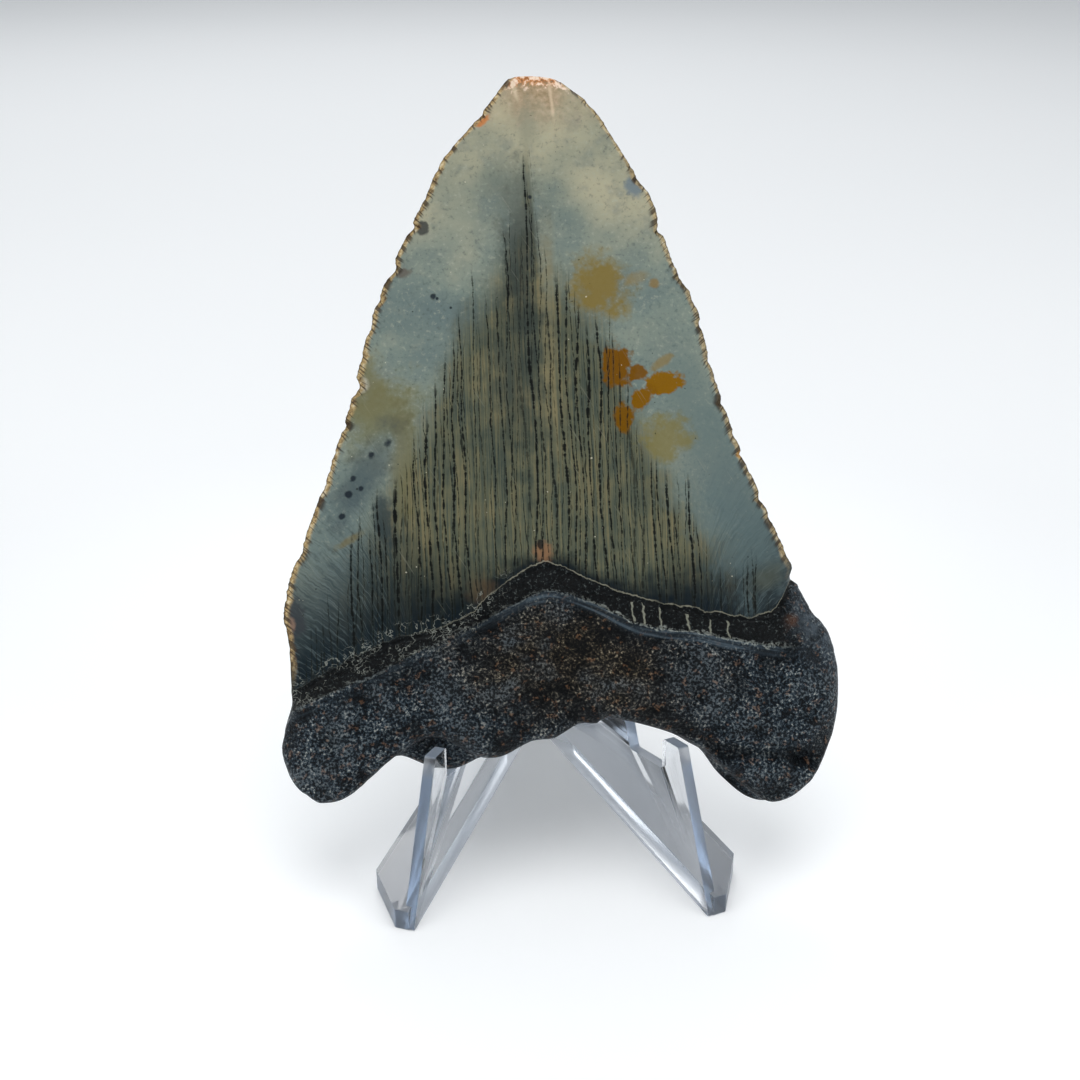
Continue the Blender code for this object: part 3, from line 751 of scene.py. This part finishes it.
def lap_cutter(side):
    """The slab of one half's web, with the gap round it, cut from the other half."""
    low = -LAP_OVERSHOOT if side < 0 else LAP_HEIGHT
    high = LAP_HEIGHT + LAP_GAP if side < 0 else REST_TOP + LAP_OVERSHOOT
    near = -LAP_GAP
    far = WEB_THICKNESS + LAP_GAP
    outline = [(0.0, near), (2.0 * TAIL_END, near), (2.0 * TAIL_END, far), (0.0, far)]
    lift = Matrix.Translation((0.0, 0.0, (low + high) * MM / 2.0))
    return extruded("lap_cutter", outline, high - low, half_frame(side) @ lift)


def boolean(piece, other, operation):
    modifier = piece.modifiers.new(operation.lower(), "BOOLEAN")
    modifier.operation = operation
    modifier.solver = "EXACT"
    modifier.object = other


def make_half(side, node, clear, satin):
    """One half of the stand, its broad faces clear and its edges and underside a little duller."""
    half_place = half_frame(side)
    upright = Matrix.Translation((0.0, WEB_THICKNESS * MM / 2.0, 0.0)) @ Matrix.Rotation(pi / 2.0, 4, "X")
    rough = extruded(node + "_rough", web_outline(), WEB_THICKNESS, half_place @ upright)
    lift = Matrix.Translation((0.0, 0.0, FLANGE_THICKNESS * MM / 2.0))
    flange = extruded(node + "_flange", flange_outline(), FLANGE_THICKNESS, half_place @ lift)
    cutter = lap_cutter(-side)
    boolean(rough, flange, "UNION")
    boolean(rough, cutter, "DIFFERENCE")
    rounding = rough.modifiers.new("rounding", "BEVEL")
    rounding.width = EDGE_ROUNDING * MM
    rounding.segments = 3
    rounding.limit_method = "ANGLE"
    rounding.angle_limit = SMOOTH_UP_TO
    bpy.context.view_layer.update()
    evaluated = rough.evaluated_get(bpy.context.evaluated_depsgraph_get())
    data = bpy.data.meshes.new_from_object(evaluated)
    data.name = "clear_" + node
    for spent in (rough, flange, cutter):
        bpy.data.objects.remove(spent)
    data.materials.clear()
    data.materials.append(clear)
    data.materials.append(satin)
    out = half_place.to_3x3().col[1]
    for face in data.polygons:
        side_face = abs(face.normal.dot(out)) > BROAD_FACE
        flange_top = face.normal.z > BROAD_FACE and face.center.z < LAP_HEIGHT * MM
        face.material_index = 0 if side_face or flange_top else 1
    data.shade_smooth()
    data.set_sharp_from_angle(angle=SMOOTH_UP_TO)
    half = link("clear_" + node, data)
    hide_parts(node)
    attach(half, "root")


def linear(display):
    """Linear colour from a display colour in 0 to 255."""
    share = np.array(display) / 255.0
    return tuple(np.where(share <= 0.04045, share / 12.92, ((share + 0.055) / 1.055) ** 2.4).tolist())


class Value:
    """What a node gives out, joined to numbers and to others by + - * / and abs."""

    def __init__(self, recipe, socket):
        self.recipe = recipe
        self.socket = socket

    def __add__(self, other):
        return self.recipe.math("ADD", self, other)

    def __sub__(self, other):
        return self.recipe.math("SUBTRACT", self, other)

    def __mul__(self, other):
        return self.recipe.math("MULTIPLY", self, other)

    def __truediv__(self, other):
        return self.recipe.math("DIVIDE", self, other)

    def __abs__(self):
        return self.recipe.math("ABSOLUTE", self)

    def step(self, low, high, start=0.0, end=1.0):
        """Eases from start to end as the value passes from low to high, which may lie below low."""
        if low > high:
            low, high, start, end = high, low, end, start
        inputs = {"Value": self, "From Min": low, "From Max": high, "To Min": start, "To Max": end}
        return self.recipe.node("ShaderNodeMapRange", inputs, "Result", interpolation_type="SMOOTHSTEP")


class Recipe:
    """Node tree of a material or of the room, built by short calls that take and give values."""

    def __init__(self, owner):
        owner.use_nodes = True
        self.owner = owner
        self.tree = owner.node_tree
        self.colour = None

    def feed(self, socket, value):
        """Put a value, a number, a display colour or a linear colour with its alpha on a socket."""
        if isinstance(value, Value):
            self.tree.links.new(value.socket, socket)
        elif socket.type == "RGBA" and len(value) == 3:
            socket.default_value = (*linear(value), 1.0)
        else:
            socket.default_value = value

    def put(self, node, **values):
        """Put values on the inputs of a node, named with _ for each space."""
        for name, value in values.items():
            self.feed(self.tree.nodes[node].inputs[name.replace("_", " ")], value)

    def node(self, kind, inputs, output=0, **settings):
        """What a new node gives out from the values on its inputs."""
        made = self.tree.nodes.new(kind)
        for name, value in settings.items():
            setattr(made, name, value)
        for name, value in inputs.items():
            self.feed(made.inputs[name], value)
        return Value(self, made.outputs[output])

    def measure(self, name):
        return self.node("ShaderNodeAttribute", {}, "Fac", attribute_name=name)

    def math(self, operation, *values):
        return self.node("ShaderNodeMath", dict(enumerate(values)), operation=operation)

    def vector(self, x, y, z=0.0):
        return self.node("ShaderNodeCombineXYZ", {"X": x, "Y": y, "Z": z})

    def length(self, vector):
        return self.node("ShaderNodeVectorMath", {0: vector}, "Value", operation="LENGTH")

    def noise(self, place, scale, detail=2.0, roughness=0.5):
        inputs = {"Vector": place, "Scale": scale, "Detail": detail, "Roughness": roughness}
        return self.node("ShaderNodeTexNoise", inputs, "Fac", noise_dimensions="3D")

    def random(self, value):
        return self.node("ShaderNodeTexWhiteNoise", {"W": value}, "Value", noise_dimensions="1D")

    def blend(self, share, first, second):
        """Colour that runs from the first to the second as share goes from 0 to 1."""
        return self.node("ShaderNodeMix", {0: share, 6: first, 7: second}, 2, data_type="RGBA")

    def paint(self, share, colour):
        """Lay a colour over the colour so far."""
        self.colour = self.blend(share, self.colour, colour)

    def ramp(self, value, *stops):
        """Colour that runs through stops of (value, red, green, blue)."""
        made = self.node("ShaderNodeValToRGB", {0: value})
        elements = made.socket.node.color_ramp.elements
        while len(elements) < len(stops):
            elements.new(1.0)
        for element, (place, *display) in zip(elements, stops):
            element.position = place
            element.color = (*linear(display), 1.0)
        return made

    def blot(self, place, spot, wobble, softness):
        """Share of a stain of (across, height, half width, half height, turn in degrees) at a place."""
        x, y, half_width, half_height, turn = spot
        inputs = {
            "Vector": place,
            "Location": (x, y, 0.0),
            "Rotation": (0.0, 0.0, radians(turn)),
            "Scale": (half_width, half_height, 1.0),
        }
        distance = self.length(self.node("ShaderNodeMapping", inputs, vector_type="TEXTURE")) + wobble
        return distance.step(1.0 + softness, 1.0 - softness)

    def bump(self, height, strength, reach):
        """Small relief from a value, with its reach in millimetres."""
        inputs = {"Strength": strength, "Distance": reach * MM, "Height": height}
        self.put(SHADER, Normal=self.node("ShaderNodeBump", inputs, "Normal"))


class ToothRecipe(Recipe):
    """Recipe with the tooth's measures and the noise that all its parts share."""

    def __init__(self, name):
        super().__init__(bpy.data.materials.new(name))
        self.across = self.measure("across")
        self.height = self.measure("height")
        self.face = self.measure("face")
        self.fall = self.measure("fall")
        self.spread = self.vector(self.across, self.height)
        layer = self.measure("depth") * DEPTH_STRETCH + self.face * FACE_APART
        self.place = self.vector(self.across, self.height, layer)
        self.grain = self.noise(self.place, 2.1, 2.0, 0.65)

    def finish(self, relief, reach, roughness, gloss):
        """Put the colour so far, the relief, the roughness and the gloss on the shader."""
        self.bump(relief, FOSSIL_BUMP, reach)
        self.put(SHADER, Base_Color=self.colour, Roughness=roughness)
        self.put(SHADER, IOR=FOSSIL_IOR, Specular_IOR_Level=gloss)
        return self.owner


def crack_lines(r, spacing, half_width, top_scatter, seed):
    """Dark vertical cracks of the enamel: share of crack, and of the painted shade beside it."""
    layer = r.face * 23.0 + seed
    sway = (r.noise(r.vector(r.across * 0.2, r.height * 0.05, layer), 1.0, 0.0) - 0.5) * 2.2
    kink = (r.noise(r.vector(r.across, r.height * 0.5, layer), 0.9, 1.0) - 0.5) * 0.5
    lane = (r.across + (sway + kink)) * (1.0 / spacing)
    number = r.math("FLOOR", lane)
    chance = r.random(number + layer)
    other = r.random(number + (layer + 17.3))
    beside = abs(r.math("FRACT", lane) - 0.5 - (chance - 0.5) * 0.42) * spacing
    begins = (r.crack_fall + (other - 0.5) * top_scatter).step(0.0, 5.0)
    beads = r.noise(r.vector(number * 3.1, r.height * 0.85, layer), 1.0, 2.0, 0.7)
    wide = beads.step(0.34, 0.62, 0.12, 1.4) * chance.step(0.0, 1.0, 0.6 * half_width, 1.3 * half_width)
    line = (beside / wide).step(1.5, 0.5) * other.step(0.0, 0.3, 0.5, 1.0)
    return line * begins, beside.step(4.0 * half_width, 0.0) * begins


def band_colours(r):
    """Near-black of the band, with pale grains."""
    return r.ramp(r.grain, (0.46, 1, 3, 4), (0.6, 11, 17, 20), (0.74, 86, 92, 90))


def paint_scribbles(r, clumps):
    """Broken pale lines where the enamel runs out on the left."""
    worms = abs(r.noise(r.place, 0.55, 2.0, 0.7) - 0.5).step(0.022, 0.006)
    reach = r.across.step(-4.0, -13.0) * abs(r.fall - 0.8).step(4.0, 2.0)
    r.paint(worms * reach * clumps.step(0.42, 0.56) * 0.7, (142, 146, 138))


def paint_ground(r):
    """Cloudy grey-green enamel, paler and warmer upwards."""
    sides = r.ramp(r.clouds, (0.34, 99, 114, 112), (0.5, 116, 129, 121), (0.66, 130, 138, 125))
    upper = r.ramp(r.clouds, (0.36, 124, 131, 116), (0.64, 168, 163, 137))
    rise = r.height + (r.clouds - 0.5) * 30.0
    r.colour = r.blend(rise.step(84.0, 116.0), sides, upper)
    r.paint(r.mottle.step(0.46, 0.72, 0.0, 0.4), (92, 106, 106))
    r.paint(r.mottle.step(0.48, 0.28, 0.0, 0.3), (146, 149, 132))
    r.paint(r.fine.step(0.54, 0.78, 0.0, 0.5), (160, 164, 148))
    r.paint(r.fine.step(0.46, 0.25, 0.0, 0.42), (66, 76, 76))


def paint_worn_tip(r):
    """Flat worn tip: pinkish in the middle, flecked white and orange on top."""
    crumbs = r.noise(r.vector(r.across, r.height, r.measure("depth")), 0.9, 2.0, 0.7)
    warm = r.ramp(crumbs, (0.35, 146, 126, 96), (0.55, 168, 146, 116), (0.7, 188, 160, 136))
    middle = abs(r.across - 0.4).step(7.0, 2.0, 0.35, 0.95)
    r.paint((r.height + (r.mottle - 0.5) * 8.0).step(114.0, 124.0) * middle, warm)
    flecks = r.ramp(crumbs, (0.36, 112, 56, 22), (0.48, 196, 126, 66), (0.6, 242, 218, 196))
    r.paint((r.height + (crumbs - 0.5) * 5.0).step(123.8, 125.4) * 0.9, flecks)


def paint_cracked_middle(r):
    """Tan and grey streaked ground between the cracks, with a pale stripe beside the tallest."""
    streaks = r.noise(r.vector(r.across * 2.4, r.height * 0.05, 13.0), 1.0, 2.0, 0.65)
    tone = r.clouds * 0.25 + r.mottle * 0.25 + streaks * 0.5
    ground = r.ramp(tone, (0.4, 54, 62, 55), (0.47, 76, 80, 64), (0.53, 92, 91, 68), (0.61, 112, 104, 74))
    r.paint((r.crack_fall + (r.mottle - 0.5) * 10.0).step(-6.0, 10.0) * 0.92, ground)
    sideways = abs(r.across + ((r.clouds - 0.5) * 3.0 - 0.9))
    stripe = sideways.step(2.0, 0.7) * (r.height.step(50.0, 75.0) * r.height.step(106.0, 92.0))
    r.paint(stripe * r.mottle.step(0.35, 0.65, 0.2, 0.55), (130, 121, 90))


def paint_lower_corners(r):
    """Blue-black foot of the enamel and the fan of fine lines in its corners."""
    low_reach = r.across.step(-4.0, -30.0, 4.0, 26.0) + r.across.step(10.0, 36.0, 0.0, 15.0)
    low = ((r.above + (r.mottle - 0.5) * 5.0) / low_reach).step(1.0, 0.0)
    outer = abs(r.across).step(24.0, 40.0) * r.above.step(34.0, 10.0)
    tint = r.blend(r.across.step(-10.0, 10.0), (80, 97, 101), (60, 75, 76))
    r.paint(outer * 0.7, tint)
    r.paint(low, (5, 18, 26))
    corner = abs(r.across).step(22.0, 33.0) * r.above.step(36.0, 12.0)
    swayed = r.measure("fan") + r.mottle * 3.0
    threads = r.noise(r.vector(swayed * 2.2, r.across * 0.25, 21.0), 1.0, 1.0, 0.7)
    r.paint(threads.step(0.48, 0.7) * (corner * 0.55), (34, 48, 54))
    r.paint(threads.step(0.5, 0.28) * (corner * 0.25), (118, 134, 136))


def paint_marks(r):
    """Stains and dots, on the shown face alone."""
    shown = r.face.step(0.4, 0.1)
    wobble = (r.mottle - 0.5) * 2.2 + (r.fine - 0.5) * 0.6
    for spot, colour, strength, softness in STAINS:
        r.paint(r.blot(r.spread, spot, wobble, softness) * (shown * strength), colour)
    dots = 0.0
    for across, height, radius in DOTS:
        dots = r.math("MAXIMUM", dots, r.blot(r.spread, (across, height, radius, radius, 0.0), wobble, 0.4))
    r.paint(dots * shown * 0.9, (20, 28, 38))


def paint_cracks(r):
    """Broad cracks and thin ones between them, with painted shade beside the broad ones."""
    cracks, beside = crack_lines(r, 1.72, 0.14, 12.0, 5.0)
    thin = crack_lines(r, 1.13, 0.085, 14.0, 31.0)[0]
    # Painted shade beside the broad cracks.
    r.paint(beside * 0.3, (50, 58, 52))
    r.paint(thin * 0.85, (20, 24, 20))
    r.paint(cracks * 0.97, (4, 7, 7))


def paint_specks(r):
    """Pale and dark specks, and faint slanted scratches."""
    specks = r.noise(r.vector(r.across, r.height, 61.0), 1.2, 1.0)
    r.paint(specks.step(0.785, 0.82) * 0.7, (196, 192, 172))
    r.paint(specks.step(0.22, 0.19) * 0.7, (30, 34, 32))
    slanted = (r.across + r.height * 0.6) * 2.6
    scratch = r.noise(r.vector(slanted, r.height * 0.14, 67.0), 1.0, 0.0)
    r.paint(scratch.step(0.76, 0.84) * 0.12, (164, 164, 146))


def paint_enamel_end(r):
    """First of the black band, and a painted highlight along the lip of the step where the enamel ends."""
    jag = (r.fine - 0.5) * 0.7
    line = abs(r.fall + (jag + 0.1)).step(0.17, 0.03)
    share = r.across.step(-26.0, -8.0, 0.1, 0.95) * r.mottle.step(0.35, 0.55, 0.4, 1.0)
    r.paint((r.fall + jag).step(-0.1, 0.1), band_colours(r))
    # Painted highlight on the lip of the step down from the enamel.
    r.paint(line * share * 0.75, (150, 148, 130))


def paint_cutting_edge(r):
    """Worn golden rim with dark notches across it, stronger on the left."""
    distance = r.measure("edge_distance")
    right = r.across.step(-4.0, 4.0)
    along = r.height + distance * 0.8
    bites = r.noise(r.vector(along * 0.5, right * 9.0, r.face), 1.0, 1.0, 0.6)
    ragged = distance + (r.fine - 0.5) * 0.9 + (r.mottle - 0.5) * 1.6
    crown = r.above.step(0.0, 8.0)
    gold = r.ramp(r.fine, (0.3, 96, 76, 52), (0.45, 158, 134, 92), (0.56, 188, 164, 116),
                  (0.7, 224, 210, 180))
    r.paint(ragged.step(1.25, 0.45) * crown * right.step(0.0, 1.0, 0.95, 0.7), gold)
    notch = abs(bites - 0.5).step(0.035, 0.01) * distance.step(1.9, 0.9)
    r.paint(notch * crown * 0.8, (44, 34, 28))
    r.paint(distance.step(0.3, 0.08) * 0.45, (46, 38, 32))


def enamel_material():
    """Enamel of the crown, down to the first of the black band below it."""
    r = ToothRecipe("fossil_enamel")
    r.above = r.fall * -1.0
    r.crack_fall = r.measure("crack_fall")
    r.clouds = r.noise(r.place, 0.055, 2.0)
    r.mottle = r.noise(r.place, 0.24, 3.0, 0.6)
    r.fine = r.noise(r.place, 1.2, 2.0, 0.65)
    paint_ground(r)
    paint_worn_tip(r)
    paint_cracked_middle(r)
    paint_lower_corners(r)
    paint_marks(r)
    paint_cracks(r)
    paint_specks(r)
    paint_enamel_end(r)
    paint_scribbles(r, r.mottle)
    paint_cutting_edge(r)
    return r.finish(r.fine, 0.1, r.mottle.step(0.3, 0.7, 0.36, 0.5), 0.12)


def paint_root_grain(r):
    """Pale grains on near-black, the palest partly painted glints, brown in the middle and blue-grey
    outwards, with painted shade in the hollows and painted highlights on the raised lumps.
    """
    level = r.grain + (r.clumps - 0.5) * 0.3
    # The palest grains are partly the grain's own pale tone and partly painted glints.
    cold = r.ramp(level, (0.37, 1, 6, 11), (0.475, 20, 32, 42), (0.55, 56, 70, 80), (0.64, 108, 117, 120),
                  (0.73, 198, 200, 194))
    warm = r.ramp(level, (0.38, 4, 4, 4), (0.49, 26, 25, 22), (0.57, 52, 47, 39), (0.66, 104, 95, 78),
                  (0.75, 190, 178, 154))
    r.colour = r.blend(r.blot(r.spread, BROWN_PLACE, (r.broad - 0.5) * 1.6, 0.75), cold, warm)
    r.paint(r.broad.step(0.5, 0.68, 0.0, 0.6), ROOT_BLACK)
    r.paint(r.clumps.step(0.45, 0.3, 0.0, 0.5), ROOT_BLACK)
    hollow = r.measure("hollow")
    # Painted shade: darker where the relief lies deep into the tooth.
    r.paint(hollow.step(0.1, 1.1, 0.0, 0.7), (1, 4, 7))
    # Painted highlight: pale grains where the relief stands out.
    r.paint(hollow.step(0.2, -1.0) * r.grain.step(0.47, 0.6, 0.05, 0.7), (98, 108, 114))


def paint_root_spots(r):
    """Painted highlight on the lumpy shoulder, bronze grains and a spot of rust."""
    shoulder = r.blot(r.spread, SHOULDER_HIGHLIGHT, (r.clumps - 0.5) * 3.0, 0.4)
    # Painted highlight on the shoulder's lumps.
    r.paint(shoulder * r.clumps.step(0.4, 0.62, 0.1, 0.6), (92, 104, 114))
    bronze = r.noise(r.place, 0.9, 0.0).step(0.64, 0.72) * r.grain.step(0.45, 0.6)
    r.paint(bronze * 0.5, (128, 92, 64))
    r.paint(r.blot(r.spread, RUST_SPOT, (r.clumps - 0.5) * 1.4, 0.5) * 0.8, (122, 84, 62))


def paint_lip(r):
    """Smooth streaked lip below the band, and its share at a place."""
    streaks = r.noise(r.vector(r.across * 0.12, r.band_fall * 1.6, 3.0), 1.0, 1.0, 0.6)
    colour = r.ramp(streaks, (0.36, 14, 24, 31), (0.5, 34, 46, 55), (0.64, 70, 84, 94))
    ragged = r.band_fall + (r.clumps - 0.5) * 1.6
    reach = r.across.step(-18.0, -4.0, 0.3, 1.0) * r.inside
    lip = ragged.step(-0.2, 0.2) * ragged.step(2.5, 1.5) * reach
    r.paint(lip * 0.7, colour)
    return lip


def paint_band(r):
    """Black band with its pale rungs and the pale line along its foot, and its share at a place."""
    band = (r.band_fall + (r.grain - 0.5) * 1.2).step(0.2, -0.2) * r.across.step(46.0, 40.0)
    r.paint(band, band_colours(r))
    swayed = r.across + (r.clumps - 0.5) * 2.4
    rungs = 0.0
    for rung in RUNGS:
        rungs = r.math("MAXIMUM", rungs, abs(swayed - rung).step(0.26, 0.1))
    r.paint(rungs * band * 0.85, (140, 142, 128))
    foot = abs(r.band_fall + (r.clumps - 0.5) * 3.0).step(0.42, 0.12) * r.grain.step(0.42, 0.55)
    r.paint(foot * (r.across.step(2.0, 9.0, 0.3, 1.0) * r.inside) * 0.8, (150, 156, 150))
    return band


def root_material():
    """Rest of the black band, the smooth lip below it and the granular root."""
    r = ToothRecipe("fossil_root")
    r.band_fall = r.measure("band_fall")
    r.clumps = r.noise(r.place, 0.34, 2.0, 0.6)
    r.broad = r.noise(r.place, 0.09, 1.0)
    r.inside = r.across.step(44.0, 38.0)
    paint_root_grain(r)
    paint_root_spots(r)
    lip = paint_lip(r)
    band = paint_band(r)
    paint_scribbles(r, r.clumps)
    smooth = r.math("MAXIMUM", lip, band * 0.6)
    return r.finish(r.grain * smooth.step(0.0, 1.0, 1.0, 0.15), 1.8, 0.5, 0.15)


def plastic_material(name, dullness):
    """Clear plastic, a little blue along its long light paths."""
    r = Recipe(bpy.data.materials.new(name))
    r.put(SHADER, Base_Color=PLASTIC_COLOUR, Roughness=dullness, Transmission_Weight=1.0, IOR=PLASTIC_IOR)
    body = {"Color": PLASTIC_BODY, "Density": PLASTIC_DENSITY}
    r.put("Material Output", Volume=r.node("ShaderNodeVolumeAbsorption", body, "Volume"))
    place = r.node("ShaderNodeTexCoord", {}, "Object")
    r.bump(r.noise(place, 90.0, 1.0), 0.15, 0.2)
    return r.owner


def floor_material():
    """Pale floor with a faint painted glow round the stand, which lightens the shadows there and stands for
    the light that clear plastic lets through.
    """
    r = Recipe(bpy.data.materials.new("pale_floor"))
    place = r.node("ShaderNodeTexCoord", {}, "Object")
    colour = r.ramp(r.noise(place, 3.0, 1.0), (0.3, 243.5, 245.2, 246.4), (0.7, 244.6, 246.0, 247.2))
    glow = r.length(place).step(*GLOW_REACH, GLOW, 0.0)
    r.put(SHADER, Base_Color=colour, Roughness=0.6, Specular_IOR_Level=0.2)
    r.put(SHADER, Emission_Color=GLOW_COLOUR, Emission_Strength=glow)
    return r.owner


def make_floor():
    corners = [(x * FLOOR_HALF, y * FLOOR_HALF, FLOOR_LEVEL) for x, y in ((-1, -1), (1, -1), (1, 1), (-1, 1))]
    mesh = bpy.data.meshes.new("floor")
    mesh.from_pydata(corners, [], [(0, 1, 2, 3)])
    mesh.materials.append(floor_material())
    floor = link("floor", mesh)


def make_camera():
    data = bpy.data.cameras.new("camera")
    data.sensor_width = SENSOR
    data.lens = SENSOR * FOCAL_PIXELS / IMAGE_PIXELS
    data.clip_start = 0.01
    data.clip_end = 20.0
    camera = link("camera", data)
    camera.location = STAND_ORIGIN + Vector(CAMERA_PLACE) * MM
    camera.rotation_euler = (pi / 2.0 - CAMERA_DIP, 0.0, -CAMERA_TURN)
    bpy.context.scene.camera = camera


def area_light(name, place, aim, size, power):
    """A round soft light that faces its aim."""
    data = bpy.data.lights.new(name, "AREA")
    data.shape = "DISK"
    data.size = size
    data.energy = power
    light = link(name, data)
    light.location = place
    light.rotation_euler = (Vector(aim) - Vector(place)).to_track_quat("-Z", "Y").to_euler()


def light_scene():
    """A white room, darker above the camera, and soft lights above, at the sides, in front and behind."""
    world = bpy.data.worlds.new("room")
    bpy.context.scene.world = world
    r = Recipe(world)
    directions = {0: r.node("ShaderNodeTexCoord", {}, "Generated"), 1: Vector(DARK_SIDE).normalized()}
    towards = r.node("ShaderNodeVectorMath", directions, "Value", operation="DOT_PRODUCT")
    r.put("Background", Color=ROOM_COLOUR, Strength=towards.step(*DARK_REACH, ROOM_LIGHT, DARK_LIGHT))
    for light in LIGHTS:
        area_light(*light)
    scene = bpy.context.scene
    scene.view_settings.view_transform = "Standard"
    scene.view_settings.look = "None"
    scene.cycles.max_bounces = CLEAR_BOUNCES
    scene.cycles.transmission_bounces = CLEAR_BOUNCES
    scene.cycles.glossy_bounces = CLEAR_BOUNCES // 2


make_tooth()
clear = plastic_material("clear_plastic", CLEAR_ROUGHNESS)
satin = plastic_material("clear_plastic_edge", SATIN_ROUGHNESS)
make_half(-1, "stand_left_half", clear, satin)
make_half(1, "stand_right_half", clear, satin)
make_floor()
make_camera()
light_scene()
